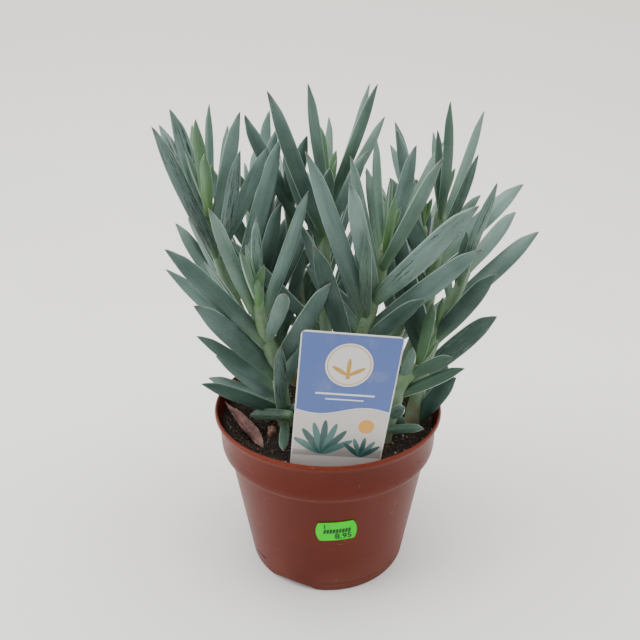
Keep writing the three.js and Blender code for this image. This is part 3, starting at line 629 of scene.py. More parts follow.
# All the leaves of one stem, each with its look: tone, youth and how far its bloom is rubbed off
def leavesOf(n, stem, curve):
    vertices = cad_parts[f"leafy_stem_{n + 1}"].data.vertices
    corners = kdtree.KDTree(len(vertices))
    for vertex in vertices:
        corners.insert(vertex.co, vertex.index)
    corners.balance()
    leaves = []
    looks = makeDraw(leafForm["looksSeed"] + n)

    def keep(leaf, youth, rubbed, blunt=0):
        if leaf is not None:
            thickness = min(1, leafForm["thinnest"] + leaf["width"] / leafForm["thickenOver"])
            ridge = leafForm["ridge"] + leafForm["ridgeSpread"] * looks()
            leaves.append({**leaf, "thickness": leafForm["halfThickness"] * thickness, "ridge": ridge,
                           "blunt": blunt, "look": (looks(), youth, rubbed)})

    draw = makeDraw(leafForm["shownSeed"] + n)
    for k, row in enumerate(stem["shown"]):
        slimYouth = leafForm["slimYouth"] * (row[5] < leafForm["slim"])
        youth = leafForm["freshYouth"] if k in stem["fresh"] else slimYouth
        leaf = standing(shownChoices(row, curve, draw), corners)
        keep(leaf, youth, stem["rubbed"].get(k, 0), float(k in stem["blunt"]))
    draw = makeDraw(leafForm["ruledSeed"] + n)
    first = 360 * draw()
    for k in range(stem["young"]):
        leaf = standing(ruledChoices(youngLeaf(k, first, draw), curve), corners)
        keep(leaf, youngForm["youth"] - youngForm["ageing"] * k, 0)
    for k in range(stem["ruled"]):
        leaf = standing(ruledChoices(ruledLeaf(k, stem, first, draw), curve), corners)
        keep(leaf, 0, ruledForm["rubbed"] * looks())
    for k in range(bud["leaves"]):
        keep(budLeaf(k, curve, looks), 1, 0)
    for k, (root, tip, *width) in stem["moved"].items():
        leaf = leaves[k]
        root = pointAtDepth(*root) if root else leaf["root"]
        tip = pointAtDepth(*tip) if tip else leaf["tip"]
        upper = flatToView(root, tip, leaf["across"])
        leaf.update(leafFrame(root, tip, upper, *(width or [leaf["width"]]), leafForm["movedBow"], 0))
    return [leaf for k, leaf in enumerate(leaves) if k not in stem["fallen"]]


# Points for the tree below: one for each leaf, and a chain up the stem
stemForm = {"points": 56, "dome": 3}


def plantPoints(name, leaves, curve):
    count = stemForm["points"]
    shares = [k / (count - 1) for k in range(count)]
    radii = [leafForm["stemBase"] + (leafForm["stemTop"] - leafForm["stemBase"]) * share for share in shares]
    for k in range(stemForm["dome"]):
        radii[count - 1 - k] *= (k + 0.3) / stemForm["dome"]
    first = len(leaves)
    mesh = bpy.data.meshes.new(name)
    vertices = [leaf["root"] * mm for leaf in leaves] + [curve.at(share) * mm for share in shares]
    mesh.from_pydata(vertices, [(first + k, first + k + 1) for k in range(count - 1)], [])
    lengths = ("root", "middle", "tip", "width", "thickness")
    for label in (*lengths, "across", "flat", "look", "ridge", "blunt"):
        values = [np.array(leaf[label]) * (mm if label in lengths else 1) for leaf in leaves]
        keepAtPoints(mesh, label, values + [values[0] * 0] * count)
    keepAtPoints(mesh, "girth", [0] * first + [radius * mm for radius in radii])
    return mesh


# Outline of a leaf along its length: reach of the straighter and rounder edge, thickness, and the reach of
# both edges where the tip is blunt
outline = {
    "tallest": 1.4,
    "straight": [(0, 0.5), (0.1, 0.48), (0.4, 0.54), (0.74, 0.44), (0.92, 0.16), (1, 0)],
    "round": [(0, 0.46), (0.12, 0.74), (0.36, 1.02), (0.58, 1.08), (0.78, 0.96), (0.92, 0.5), (1, 0)],
    "thick": [(0, 1), (0.1, 1.05), (0.45, 1), (0.74, 0.84), (0.92, 0.5), (1, 0)],
    "blunt": [(0, 0.5), (0.3, 0.66), (0.7, 0.8), (0.88, 0.68), (0.97, 0.36), (1, 0)],
}


# Sizes for the tree below, in metres where they are lengths
plantSizes = {
    "Leaf Sides": 16, "Leaf Steps": 26, "Tip Crowding": 1.35, "Edge Flat": 1.08, "Groove": 0.04,
    "Groove From": 0.98, "Ridge Slope": 0.75, "Edge Sharpness": 8.0, "Plumpness": 1.45,
    "Blade Wave": 0.8 * mm, "Wave Scale": 28.0, "Stem Sides": 18, "Stem Girth": 1.3, "Stem Lumps": 0.35,
    "Lump Scale": 130.0, "Merge Distance": 0.01 * mm,
}


# Grows every leaf from one round blank that is bent, flattened and pointed, and a lumpy stem along its chain
def leafyStemTree():
    graph = geometryGraph("leafyStem")
    size = graph.inputs(plantSizes, "Leaf Material", "Stem Material")
    blank = graph.node("GeometryNodeMeshCylinder", {"fill_type": "TRIANGLE_FAN"}, {
        "Vertices": size["Leaf Sides"], "Side Segments": size["Leaf Steps"], "Radius": 1.0, "Depth": 1.0})
    own = graph.node("GeometryNodeInputPosition")
    blank = graph.store(blank, "blank", own, "FLOAT_VECTOR")
    isLeaf = graph.attribute("width") > 0
    leaves = graph.whole(graph.copies(size["Geometry"], blank, {1: isLeaf}))

    x, y, z = graph.attribute("blank", "FLOAT_VECTOR").parts()
    root, middle, tip, across, flat = (graph.attribute(label, "FLOAT_VECTOR")
                                       for label in ("root", "middle", "tip", "across", "flat"))
    back = (0.5 - z).atLeast(0) ** size["Tip Crowding"]
    along = 1 - back
    straight, roundEdge, thick, slim = (
        graph.node("ShaderNodeFloatCurve", {"curve": [(place, value / outline["tallest"])
                                                      for place, value in outline[edge]]},
                   {1: along}) * outline["tallest"] for edge in ("straight", "round", "thick", "blunt"))
    blunt = graph.attribute("blunt")
    straight = straight + (slim - straight) * blunt
    roundEdge = roundEdge + (slim - roundEdge) * blunt
    halfWidth = graph.attribute("width") * 0.5
    edge = (x * size["Edge Flat"]).atMost(1).atLeast(-1)
    reach = halfWidth * ((roundEdge + straight) * (edge * 0.5 + 0.5) - straight)
    reach = reach - (x > size["Groove From"]) * size["Groove"] * halfWidth * roundEdge
    ridge = graph.attribute("ridge")
    lens = abs(y)
    planes = 1 - abs(x) * size["Ridge Slope"]
    face = (lens * (1 - ridge) + planes * ridge) * (lens * size["Edge Sharpness"]).atMost(1)
    sign = graph.maths("SIGN", y)
    centre = root * (back * back) + middle * (2 * along * back) + tip * (along * along)
    wave = graph.noise(centre, size["Wave Scale"], 1) - 0.5
    raised = sign * face * thick * graph.attribute("thickness") * size["Plumpness"]
    raised = raised + wave * size["Blade Wave"] * (along * back * 4)
    place = centre + across * reach + flat * raised
    leaves = graph.node("GeometryNodeSetPosition", {}, {0: leaves, 2: place})
    leaves = graph.store(leaves, "place", graph.vector(along, edge, sign * lens), "FLOAT_VECTOR")
    leaves = graph.node("GeometryNodeMergeByDistance", {}, {0: leaves, 2: size["Merge Distance"]})
    leaves = graph.dress(leaves, size["Leaf Material"])

    chain = graph.node("GeometryNodeMeshToCurve", {}, {0: size["Geometry"]})
    share = graph.node("GeometryNodeSplineParameter")
    chain = graph.store(chain, "place", graph.vector(share, 0, 0), "FLOAT_VECTOR")
    ring = graph.node("GeometryNodeCurvePrimitiveCircle", {}, {0: size["Stem Sides"], 4: 1.0})
    own = graph.node("GeometryNodeInputPosition")
    lumps = 1 + (graph.noise(own, size["Lump Scale"], 1) - 0.5) * size["Stem Lumps"]
    girth = graph.attribute("girth") * (lumps * size["Stem Girth"])
    stem = graph.node("GeometryNodeCurveToMesh", {}, {0: chain, 1: ring, 2: girth, 3: True})
    stem = graph.dress(stem, size["Stem Material"])

    return graph.finish(graph.node("GeometryNodeSetShadeSmooth", {}, {0: graph.whole(leaves, stem)}))


# Chalky blue-green leaf: a wax bloom that varies and fades lower down as painted shade, streaks where it is
# rubbed, brown tips, and pale edge lines that are painted highlights
# The edge colour serves the painted highlights along the leaf edges and the pale lines where the bloom is
# scraped
leafLook = {
    "deep": tone(46, 72, 63), "bloom": tone(117, 142, 135), "rubbed": tone(14, 30, 22),
    "fresh": tone(90, 134, 54), "edge": tone(178, 198, 180), "strip": tone(46, 72, 58),
    "tip": tone(84, 76, 64), "speck": tone(32, 42, 36), "base": tone(96, 128, 84),
    "point": tone(156, 150, 104), "green": tone(62, 94, 70),
}


def leafMaterial():
    material, graph, own = shaderGraph("chalky leaf")
    along, edge, face = graph.kept("place")
    shade, youth, rubbed = graph.kept("look")
    cloudy, grain = graph.noise(own, 38, 2), graph.noise(own, 1100, 3)
    threads = graph.noise(graph.vector(along * 3, edge * 7 + shade * 31, face * 2), 2.2, 3, 0.6)
    bloom = 0.56 + (cloudy - 0.5) * 1.1 + (shade - 0.5) * 0.5 + (grain - 0.5) * 0.36 + (threads - 0.5) * 0.36
    # Less bloom towards the root, and less again low in the plant: the second is painted shade for the lower
    # leaves
    bloom = bloom + (along - 0.6).atMost(0) * 0.3 - (1 - own.parts()[2].step(0.14, 0.29)) * 0.44
    greener = graph.noise(graph.vector(along * 2, edge + shade * 23, face), 1.4, 1).step(0.45, 0.7)
    streaks = graph.noise(graph.vector(along * 14, edge * 15 + shade * 53, face * 5), 1.5, 4, 0.7)
    bands = graph.noise(graph.vector(along * 1.2, edge * 1.6 + shade * 17, 0), 2.0, 1)
    stretch = along.step(0.05, 0.2) * (1 - along.step(0.82, 0.95))
    scuffed = (streaks + bands * 0.9 + (rubbed - 1) * 0.16).step(1.0, 1.05) * rubbed.step(0.1, 0.4) * stretch
    scraped = threads.step(0.56, 0.66) * bands.step(0.4, 0.6) * rubbed.atMost(1) * stretch
    spotted = (1 - graph.dots(own, 420).step(0.1, 0.2)) * graph.noise(own, 70, 0).step(0.56, 0.66)
    strip = edge.step(0.985, 1) * (1 - abs(face).step(0.08, 0.26))
    # Painted highlight: pale lines on both flanks of the upper, rounder edge and along the crest of the lower
    # edge
    rim = abs(face).near(0.36, 0.2) * edge.step(0.93, 0.99)
    rim = (rim + (1 - abs(face).step(0.1, 0.4)) * (1 - edge).step(1.93, 2)).atMost(1)
    tipped = (along + (grain - 0.5) * 0.05 + (cloudy - 0.5) * 0.08).step(0.93, 0.99) * (1 - youth * 0.8)
    colour = graph.mix(bloom.atLeast(0).atMost(1), leafLook["deep"], leafLook["bloom"])
    colour = graph.paint(
        leafLook, colour, (greener * 0.35, "green"), ((1 - along.step(0.02, 0.3)) * 0.5, "base"),
        (youth * (1 - along * 0.6), "fresh"), (youth * threads.step(0.46, 0.62) * 0.55, "deep"),
        (scuffed * 0.9, "rubbed"), (scraped * 0.45, "edge"), (spotted * 0.6, "speck"), (strip * 0.7, "strip"),
        (rim * (0.72 - youth * 0.4), "edge"), (tipped * 0.7, "tip"),
        (along.step(0.985, 0.997) * 0.6, "point"))
    height = grain * 0.3 + threads * 0.7 - spotted * 0.9 - scuffed * 0.3
    roughness = 0.52 + (grain - 0.5) * 0.2 + (cloudy - 0.5) * 0.14 - scuffed * 0.12
    coat(graph, colour, roughness, (0.35, 0.4, height), Specular_IOR_Level=0.35, Sheen_Weight=0.12,
         Sheen_Roughness=0.45, Sheen_Tint=(0.8, 0.92, 0.95, 1))
    return material


# Fleshy stem: woody and brown at the foot, pale green above, with scars where leaves have dropped
stemLook = {
    "foot": tone(118, 94, 68), "green": tone(96, 122, 84), "bloom": tone(124, 146, 126),
    "scar": tone(126, 104, 82), "line": tone(76, 100, 68),
}


def stemMaterial():
    material, graph, own = shaderGraph("fleshy stem")
    cloudy, grain = graph.noise(own, 60, 2), graph.noise(own, 900, 3)
    upright = graph.noise(own * (1.0, 1.0, 0.12), 900, 2)
    woody = 1 - (own.parts()[2] + (cloudy - 0.5) * 0.02).step(0.108, 0.13)
    cells = graph.dots(own * (1.0, 1.0, 1.6), 85)
    scar = (1 - cells.step(0.1, 0.24)) * graph.noise(own, 50, 0).step(0.5, 0.6)
    colour = graph.paint(
        stemLook, stemLook["green"], (woody * 0.8, "foot"), (cloudy.step(0.35, 0.6) * 0.6, "bloom"),
        (upright.step(0.55, 0.75) * 0.5, "line"), (scar * 0.7, "scar"))
    height = grain * 0.3 + upright * 0.6 - cells.near(0.2, 0.1) * 0.8
    coat(graph, colour, 0.5 + (grain - 0.5) * 0.2, (0.5, 0.6, height), Specular_IOR_Level=0.4)
    return material


# What only the tree above needs, and the finished mesh doesn't
growing = ("root", "middle", "tip", "across", "flat", "width", "thickness", "ridge", "blunt", "girth",
           "blank")


def makePlant():
    tree = leafyStemTree()
    dress = {"Leaf Material": leafMaterial(), "Stem Material": stemMaterial()}
    for n, stem in enumerate(stems):
        stem = {**plainStem, **stem}
        name = f"leafy_stem_{n + 1}"
        curve = StemCurve(stem)
        leaves = leavesOf(n, stem, curve)
        mesh = grow(f"{name}_grown", plantPoints(name, leaves, curve), tree, dress)
        for label in [made.name for made in mesh.attributes if made.name in growing]:
            mesh.attributes.remove(mesh.attributes[label])
        addPiece(f"{name}_grown", mesh, "succulent_leaf", name)
        print(name, "grown:", len(leaves), "leaves,", len(mesh.polygons), "faces")


makePlant()


# Nursery pot in mm: a thin wall with a tall collar, a rolled lip and a foot ring
potForm = {
    "steps": 160, "height": 115, "wall": 1.6, "lip": 76, "lipDepth": 3.4, "collarTop": 75, "collarFoot": 69.8,
    "collarBottom": 85.7, "shoulder": 67.7, "shoulderHeight": 84.2, "base": 54.6, "footWidth": 4.6,
    "collar": [(71.7, 86.6, 1.9), (72.6, 90.5, 2.1), (72.8, 101, 4), (74, 109.6, 1.5)],
    "floorRise": 3, "pad": 32,
}

# What is cut out of the pot: arches in the foot ring, drain holes in the floor and one thin slot
potCuts = {
    "Arches": 3, "Arch Sides": 64, "Arch Turn": math.radians(245), "Arch Half Width": 16 * mm,
    "Arch Height": 4 * mm, "Arch Ring": 52.6 * mm, "Arch Depth": 10 * mm, "Drains": 6, "Drain Sides": 28,
    "Drain Radius": 4 * mm, "Drain Ring": 42 * mm, "Drain Depth": 20 * mm, "Slot Turn": math.radians(216),
    "Slot Height": 11.2 * mm, "Slot Length": 11 * mm, "Slot Width": 1.1 * mm, "Slot Ring": 56.4 * mm,
    "Slot Depth": 2.2 * mm,
}


def bodyRadius(z):
    return potForm["base"] + (potForm["shoulder"] - potForm["base"]) * z / potForm["shoulderHeight"]


def collarInside(z):
    low, high = potForm["collarBottom"], potForm["height"] - potForm["lipDepth"]
    share = (z - low) / (high - low)
    return potForm["collarFoot"] + (potForm["collarTop"] - potForm["collarFoot"]) * share - potForm["wall"]


# An outline with its corners rounded; each corner is (radius, height, rounding)
def roundedOutline(corners, steps=4):
    places = []
    for k, (x, z, rounding) in enumerate(corners):
        here = np.array((x, z), float)
        if rounding == 0:
            places.append(here)
            continue
        before, after = (np.array(corners[n][:2], float) for n in (k - 1, k + 1))
        start, end = here + unit(before - here) * rounding, here + unit(after - here) * rounding
        for t in np.linspace(0, 1, steps + 1):
            places.append(start * (1 - t) ** 2 + here * 2 * t * (1 - t) + end * t ** 2)
    return places


# Turns an outline that starts and ends on the axis into a closed mesh; heights may be changed by a function
def turnedMesh(name, places, steps, height=None):
    vertices, faces, rings = [], [], []
    for radius, z in places:
        count = 1 if radius < 1e-6 else steps
        rings.append([len(vertices) + k % count for k in range(steps)])
        for k in range(count):
            angle = 2 * math.pi * k / steps
            x, y = radius * math.cos(angle), radius * math.sin(angle)
            vertices.append(Vector((x, y, height(x, y, z) if height else z)) * mm)
    for lower, upper in zip(rings, rings[1:]):
        for k in range(steps):
            beside = (k + 1) % steps
            corners = list(dict.fromkeys((lower[k], lower[beside], upper[beside], upper[k])))
            if len(corners) > 2:
                faces.append(corners)
    return smoothMesh(name, vertices, faces)


# Cuts shallow arches through the foot ring, a ring of round drain holes through the floor, and the slot
def potTree():
    graph = geometryGraph("nurseryPot")
    size = graph.inputs(potCuts, "Pot Material")

    def rod(sides, radius, depth):
        sockets = {"Vertices": sides, "Radius": radius, "Depth": depth}
        return graph.node("GeometryNodeMeshCylinder", {"fill_type": "NGON"}, sockets)

    def ring(count, radius):
        return graph.node("GeometryNodeMeshCircle", {}, {"Vertices": count, "Radius": radius})

    wide = graph.vector(size["Arch Height"], size["Arch Half Width"], 1)
    arch = graph.node("GeometryNodeTransform", {}, {
        0: rod(size["Arch Sides"], 1.0, size["Arch Depth"]), 2: (0, math.pi / 2, 0), 3: wide})
    index = graph.node("GeometryNodeInputIndex")
    turns = graph.vector(0, 0, index * 2 * math.pi / size["Arches"])
    arches = graph.copies(ring(size["Arches"], size["Arch Ring"]), arch, {5: turns})
    arches = graph.turn(arches, graph.vector(0, 0, size["Arch Turn"]))
    drain = rod(size["Drain Sides"], size["Drain Radius"], size["Drain Depth"])
    drains = graph.copies(ring(size["Drains"], size["Drain Ring"]), drain)
    slot = graph.node("GeometryNodeMeshCube", {}, {
        0: graph.vector(size["Slot Depth"], size["Slot Length"], size["Slot Width"])})
    outwards = graph.vector(size["Slot Ring"], 0, size["Slot Height"])
    slot = graph.node("GeometryNodeTransform", {}, {0: slot, 1: outwards})
    slot = graph.turn(slot, graph.vector(0, 0, size["Slot Turn"]))
    cut = graph.node("GeometryNodeMeshBoolean", {"operation": "DIFFERENCE", "solver": "MANIFOLD"},
                     {0: size["Geometry"], 1: graph.whole(arches, drains, slot)})
    return graph.finish(graph.dress(graph.whole(cut), size["Pot Material"]))


# Satin terracotta-coloured plastic with scuffs, dust near the foot and a paler band at the lip
potLook = {
    "body": tone(88, 30, 17), "warm": tone(100, 37, 23), "scuff": tone(186, 134, 116),
    "dust": tone(134, 88, 72), "lip": tone(118, 52, 36), "dirt": tone(36, 22, 16), "line": tone(52, 18, 12),
}


def potMaterial():
    material, graph, own = shaderGraph("moulded pot plastic")
    height = own.parts()[2]
    cloudy, grain = graph.noise(own, 16, 3), graph.noise(own, 1600, 2)
    flow = graph.noise(own * (1.0, 1.0, 6.0), 40, 3, 0.6)
    scratches = graph.noise(own * (1.0, 1.0, 9.0), 95, 4, 0.7)
    scuff = scratches.step(0.62, 0.68) * graph.noise(own, 34, 1).step(0.6, 0.68)
    dusty = (1 - height.step(0.0, 0.03)) * cloudy.step(0.35, 0.6) * 0.3
    lip = height.step(0.1112, 0.1128)
    line = height.near(0.0068, 0.0006) * cloudy.step(0.42, 0.56)
    dirt = (1 - graph.dots(own, 150).step(0.07, 0.13)) * graph.noise(own, 44, 0).step(0.63, 0.7)
    colour = graph.paint(
        potLook, potLook["body"], (cloudy.step(0.3, 0.7) * 0.55 + (flow - 0.5) * 0.5, "warm"),
        (scuff * 0.5, "scuff"), (dusty, "dust"), (lip * (0.45 + (flow - 0.5) * 0.6), "lip"),
        (line * 0.5, "line"), (dirt * 0.75, "dirt"))
    rise = grain * 0.2 + flow * 0.5 - scuff * 0.5 + dirt * 0.6 - line
    roughness = 0.36 + (cloudy - 0.5) * 0.16 + (grain - 0.5) * 0.1 + scuff * 0.25 + dusty * 0.5
    coat(graph, colour, roughness, (0.22, 0.5, rise), Specular_IOR_Level=0.12)
    return material


def makePot():
    wall, height = potForm["wall"], potForm["height"]
    lipBottom = height - potForm["lipDepth"]
    footInside = potForm["base"] - potForm["footWidth"]
    floor = potForm["floorRise"] + wall
    corners = [
        (0, 0, 0), (potForm["pad"], 0, 0.5), (potForm["pad"] + 2, potForm["floorRise"], 0.8),
        (footInside - 1.5, potForm["floorRise"], 0.8), (footInside, 0, 0.5), (potForm["base"], 0, 1.3),
        (bodyRadius(5), 5, 0), (bodyRadius(30), 30, 0), (potForm["shoulder"], potForm["shoulderHeight"], 2.2),
        *potForm["collar"], (potForm["collarTop"], lipBottom, 0.5),
        (potForm["lip"], lipBottom + 0.5, 0.35), (potForm["lip"], height - 0.9, 0.8),
        (potForm["lip"] - 0.7, height, 0.5),
        (collarInside(height) + 0.5, height, 0.5), (collarInside(height) - 0.2, height - 1.2, 0.5),
        (collarInside(potForm["collarBottom"]), potForm["collarBottom"], 0.9),
        (potForm["shoulder"] - wall, potForm["shoulderHeight"] - 0.4, 0.9),
        (bodyRadius(floor) - wall, floor, 1), (potForm["pad"] + 2 - wall / 2, floor, 0.6),
        (potForm["pad"] - wall / 2, wall, 0.5), (0, wall, 0),
    ]
    blank = turnedMesh("pot blank", roundedOutline(corners), potForm["steps"])
    mesh = grow("pot_moulded", blank, potTree(), {**potCuts, "Pot Material": potMaterial()})
    mesh.set_sharp_from_angle(angle=sharpAngle)
    addPiece("pot_moulded", mesh, "pot_plastic", "pot")
    print("pot made:", len(mesh.polygons), "faces")


makePot()


# Potting soil in mm: a body that fills the pot, heaped and lumpy on top, with crumbs, perlite and fibres
soilForm = {"rings": 46, "steps": 168, "gap": 0.3, "lump": 0.7, "rough": 1.5, "heapReach": 70}

# What lies on the soil, as so many to a square metre. It lies above the lowest level, and where the ground
# faces up by more than the steepest does
litter = {
    "Crumbs": 170000.0, "Crumb Size": 2.1 * mm, "Perlite": 42000.0, "Perlite Size": 1.05 * mm,
    "Fibres": 30000.0, "Fibre Length": 10 * mm, "Fibre Girth": 0.17 * mm, "Fibre Bend": 22.0,
    "Fibre Curl": 4.0, "Curl Rate": 9.0, "Lowest": 90 * mm, "Steepest": 0.3,
}

# Each ground's name, dark and light tones, the scale of its patches and its roughness
groundLook = {
    "Soil": ("damp peat", (14, 10, 9), (44, 34, 28), 260, 0.85),
    "Crumb": ("peat crumb", (18, 13, 11), (92, 72, 58), 420, 0.8),
    "Perlite": ("perlite", (120, 114, 104), (205, 200, 190), 300, 0.75),
    "Fibre": ("dry fibre", (88, 68, 50), (160, 136, 108), 200, 0.7),
}
stumpLook = ("torn stump", (84, 60, 46), (152, 116, 96), 330, 0.7)


def soilHeight(x, y):
    spread = math.hypot(x, y) / soilForm["heapReach"]
    lumps = math.sin(x * 0.21 + 1) * math.cos(y * 0.19) + 0.6 * math.sin(x * 0.09 - y * 0.33)
    return leafForm["soilLevel"] + leafForm["soilHeap"] * (1 - spread * spread) + soilForm["lump"] * lumps


def soilTop(x, y, z):
    if z < leafForm["soilLevel"]:
        return z
    place = Vector((x, y, 0))
    rough = noise.fractal(place * 0.11, 0.9, 2.2, 3) * 0.8 + noise.noise(place * 0.55) * 0.5
    return soilHeight(x, y) + soilForm["rough"] * rough


def randomVector(graph, low, high, seed):
    return graph.node("FunctionNodeRandomValue", {"data_type": "FLOAT_VECTOR"}, {0: low, 1: high, 8: seed})


def randomNumber(graph, low, high, seed):
    return graph.node("FunctionNodeRandomValue", {"data_type": "FLOAT"}, {2: low, 3: high, 8: seed}, 1)


# Scatters crumbs, perlite and bent fibres over the upward faces of the soil
def litterTree():
    graph = geometryGraph("soilLitter")
    size = graph.inputs(litter, *(f"{kind} Material" for kind in groundLook))
    upward = graph.node("GeometryNodeInputNormal").parts()[2] > size["Steepest"]
    across, _, height = graph.node("GeometryNodeInputPosition").parts()
    top = upward * (height > size["Lowest"])

    def strewn(kind, many, shape, turned, grown, seed):
        spots = graph.node("GeometryNodeDistributePointsOnFaces", {}, {
            0: size["Geometry"], 1: top, 4: size[many], 6: seed})
        copies = graph.whole(graph.copies(spots, shape, {5: turned, 6: grown}))
        return graph.dress(copies, size[f"{kind} Material"])

    def grains(kind, many, small, large, least, seed):
        bead = graph.node("GeometryNodeMeshIcoSphere", {}, {"Radius": 1.0, "Subdivisions": 1})
        grown = randomVector(graph, small, large, seed + 2) * (randomNumber(graph, least, 1.0, seed + 3) ** 3)
        turned = randomVector(graph, (0.0, 0.0, 0.0), (math.tau, math.tau, math.tau), seed + 4)
        return strewn(kind, many, bead, turned, grown * size[f"{kind} Size"], seed)

    crumbs = grains("Crumb", "Crumbs", (0.35, 0.35, 0.25), (1.15, 1.0, 0.8), 0.4, 3)
    beads = grains("Perlite", "Perlite", (0.5, 0.5, 0.4), (1.1, 0.9, 0.8), 0.45, 13)
    strand = graph.node("GeometryNodeMeshCylinder", {},
                        {"Vertices": 4, "Side Segments": 6, "Radius": 1.0, "Depth": 1.0})
    curl = graph.maths("SINE", height * size["Curl Rate"]) * size["Fibre Curl"]
    bent = graph.vector(across + height * height * size["Fibre Bend"], curl, height)
    strand = graph.node("GeometryNodeSetPosition", {}, {0: strand, 2: bent})
    girth = size["Fibre Girth"] * randomNumber(graph, 0.4, 1.1, 25)
    stretch = graph.vector(girth, girth, size["Fibre Length"] * randomNumber(graph, 0.3, 1.0, 26))
    lying = randomVector(graph, (1.35, 0.0, 0.0), (1.75, 0.0, math.tau), 27)
    fibres = strewn("Fibre", "Fibres", strand, lying, stretch, 23)
    ground = graph.dress(size["Geometry"], size["Soil Material"])
    return graph.finish(graph.whole(ground, crumbs, beads, fibres))


# Peat, perlite and fibres: dark damp browns, off-white grains and tan threads
def groundMaterial(name, dark, light, scale, roughness):
    material, graph, own = shaderGraph(name)
    patches, grain = graph.noise(own, scale, 2), graph.noise(own, 1400, 3, 0.7)
    colour = graph.mix((patches * 0.5 + grain * 0.5).step(0.36, 0.64), tone(*dark), tone(*light))
    coat(graph, colour, roughness + (grain - 0.5) * 0.15, (0.8, 0.6, grain), Specular_IOR_Level=0.3)
    return material


def makeSoil():
    gap = soilForm["gap"]
    floor = potForm["floorRise"] + potForm["wall"] + gap
    edge = collarInside(leafForm["soilLevel"]) - gap
    places = [
        (0, floor), (bodyRadius(floor) - potForm["wall"] - gap, floor),
        (potForm["shoulder"] - potForm["wall"] - gap, potForm["shoulderHeight"] - 0.4),
        (collarInside(potForm["collarBottom"]) - gap, potForm["collarBottom"] + gap),
    ]
    rings = soilForm["rings"]
    places += [(edge * (1 - k / rings), leafForm["soilLevel"]) for k in range(rings + 1)]
    blank = turnedMesh("soil blank", places, soilForm["steps"], soilTop)
    dress = {f"{kind} Material": groundMaterial(*look) for kind, look in groundLook.items()}
    mesh = grow("potting_soil", blank, litterTree(), {**litter, **dress})
    addPiece("potting_soil", mesh, "potting_soil", "soil")
    print("soil made:", len(mesh.polygons), "faces")


makeSoil()


# The torn stump of an old stem, in mm, in front of the leafy stems
stumpForm = {
    "foot": (-36, -28.5), "low": 100, "top": 112, "girth": 3, "steps": 22, "torn": 1.6,
    "lumps": 0.7, "lumpsAbove": 103,
    "rings": [(1, 0), (1.08, 0.35), (0.96, 0.7), (0.86, 0.94), (0.5, 1), (0.3, 0.97)],
}


def makeStump():
    form = stumpForm
    rise = form["top"] - form["low"]
    places = [(0, form["low"])]
    places += [(form["girth"] * wide, form["low"] + rise * share) for wide, share in form["rings"]]
    places.append((0, form["low"] + rise * 0.95))

    def torn(x, y, z):
        share = (z - form["low"]) / rise
        return z + form["torn"] * share * noise.noise(Vector((x * 0.6, y * 0.6, 3)))

    mesh = turnedMesh("old_stump", places, form["steps"], torn)
    x, y = form["foot"]
    for vertex in mesh.vertices:
        lump = 1 + form["lumps"] * noise.noise(vertex.co * 260) * (vertex.co.z > form["lumpsAbove"] * mm)
        vertex.co = (vertex.co.x * lump + x * mm, vertex.co.y * lump + y * mm, vertex.co.z)
    mesh.materials.append(groundMaterial(*stumpLook))
    addPiece("old_stump", mesh, "succulent_leaf")
    print("stump made")


makeStump()


# A shrivelled leaf in mm, from the soil up to the inside of the lip
driedForm = {
    "low": (-40, -43), "lift": 1.1, "high": (-70, 1, 113), "width": 9.4, "thickness": 1.3, "steps": 48,
    "sides": 32, "fold": 0.5, "wrinkle": 0.6, "curl": 0.5,
    "reach": [(0, 0.1), (0.1, 0.56), (0.3, 1), (0.55, 0.86), (0.8, 0.45), (1, 0.03)],
}
driedLook = {
    "flesh": tone(140, 98, 92), "shade": tone(80, 50, 47), "pale": tone(184, 154, 142),
    "green": tone(104, 96, 80),
}


def driedMaterial():
    material, graph, own = shaderGraph("shrivelled leaf")
    along, edge, _ = graph.kept("place")
    folds = graph.noise(graph.vector(along * 2, edge * 7, 0), 3, 4, 0.6)
    blotch, grain = graph.noise(own, 110, 3), graph.noise(own, 1200, 3)
    # Pale where the fold relief is raised: a painted highlight on the fold ridges
    colour = graph.paint(
        driedLook, driedLook["flesh"], (blotch.step(0.35, 0.65), "shade"),
        (folds.step(0.52, 0.7) * 0.7, "pale"), ((1 - along.step(0.0, 0.3)) * 0.35, "green"))
    coat(graph, colour, 0.62 + (grain - 0.5) * 0.2, (0.7, 0.8, folds + grain * 0.3), Specular_IOR_Level=0.35)
    return material


def makeDriedLeaf():
    x, y = driedForm["low"]
    root = np.array((x, y, soilHeight(x, y) + driedForm["lift"]))
    tip = np.array(driedForm["high"], float)
    chord = unit(tip - root)
    across = unit(np.cross(chord, (0, 0, 1)))
    flat = np.cross(chord, across)
    vertices, faces, spots = [], [], []
    steps, sides = driedForm["steps"], driedForm["sides"]
    for j in range(steps + 1):
        along = j / steps
        half = driedForm["width"] / 2 * np.interp(along, *zip(*driedForm["reach"]))
        for k in range(sides):
            angle = 2 * math.pi * k / sides
            edge, side = math.cos(angle), math.sin(angle)
            crease = driedForm["fold"] * half * (1 - abs(edge) * 2)
            wrinkle = noise.fractal(Vector((along * 9, edge * 2.4, 5)), 0.8, 2.1, 3) * driedForm["wrinkle"]
            curl = driedForm["curl"] * math.sin(along * 13 + edge * 2) * edge
            raised = side * driedForm["thickness"] / 2 * (1.15 - edge * edge)
            raised += (crease + wrinkle + curl) * min(1, half / 3)
            place = root + (tip - root) * along + across * edge * half + flat * raised
            vertices.append(Vector(place) * mm)
            spots.append((along, edge, side))
            if j < steps:
                here, above, beside = j * sides, (j + 1) * sides, (k + 1) % sides
                faces.append((here + k, above + k, above + beside, here + beside))
    faces.append(tuple(range(sides)))
    faces.append(tuple(steps * sides + k for k in reversed(range(sides))))
    mesh = smoothMesh("dried_leaf_wrinkled", vertices, faces)
    keepAtPoints(mesh, "place", spots)
    mesh.materials.append(driedMaterial())
    addPiece("dried_leaf_wrinkled", mesh, "dried_leaf", "dried_leaf")
    print("dried leaf made")


makeDriedLeaf()


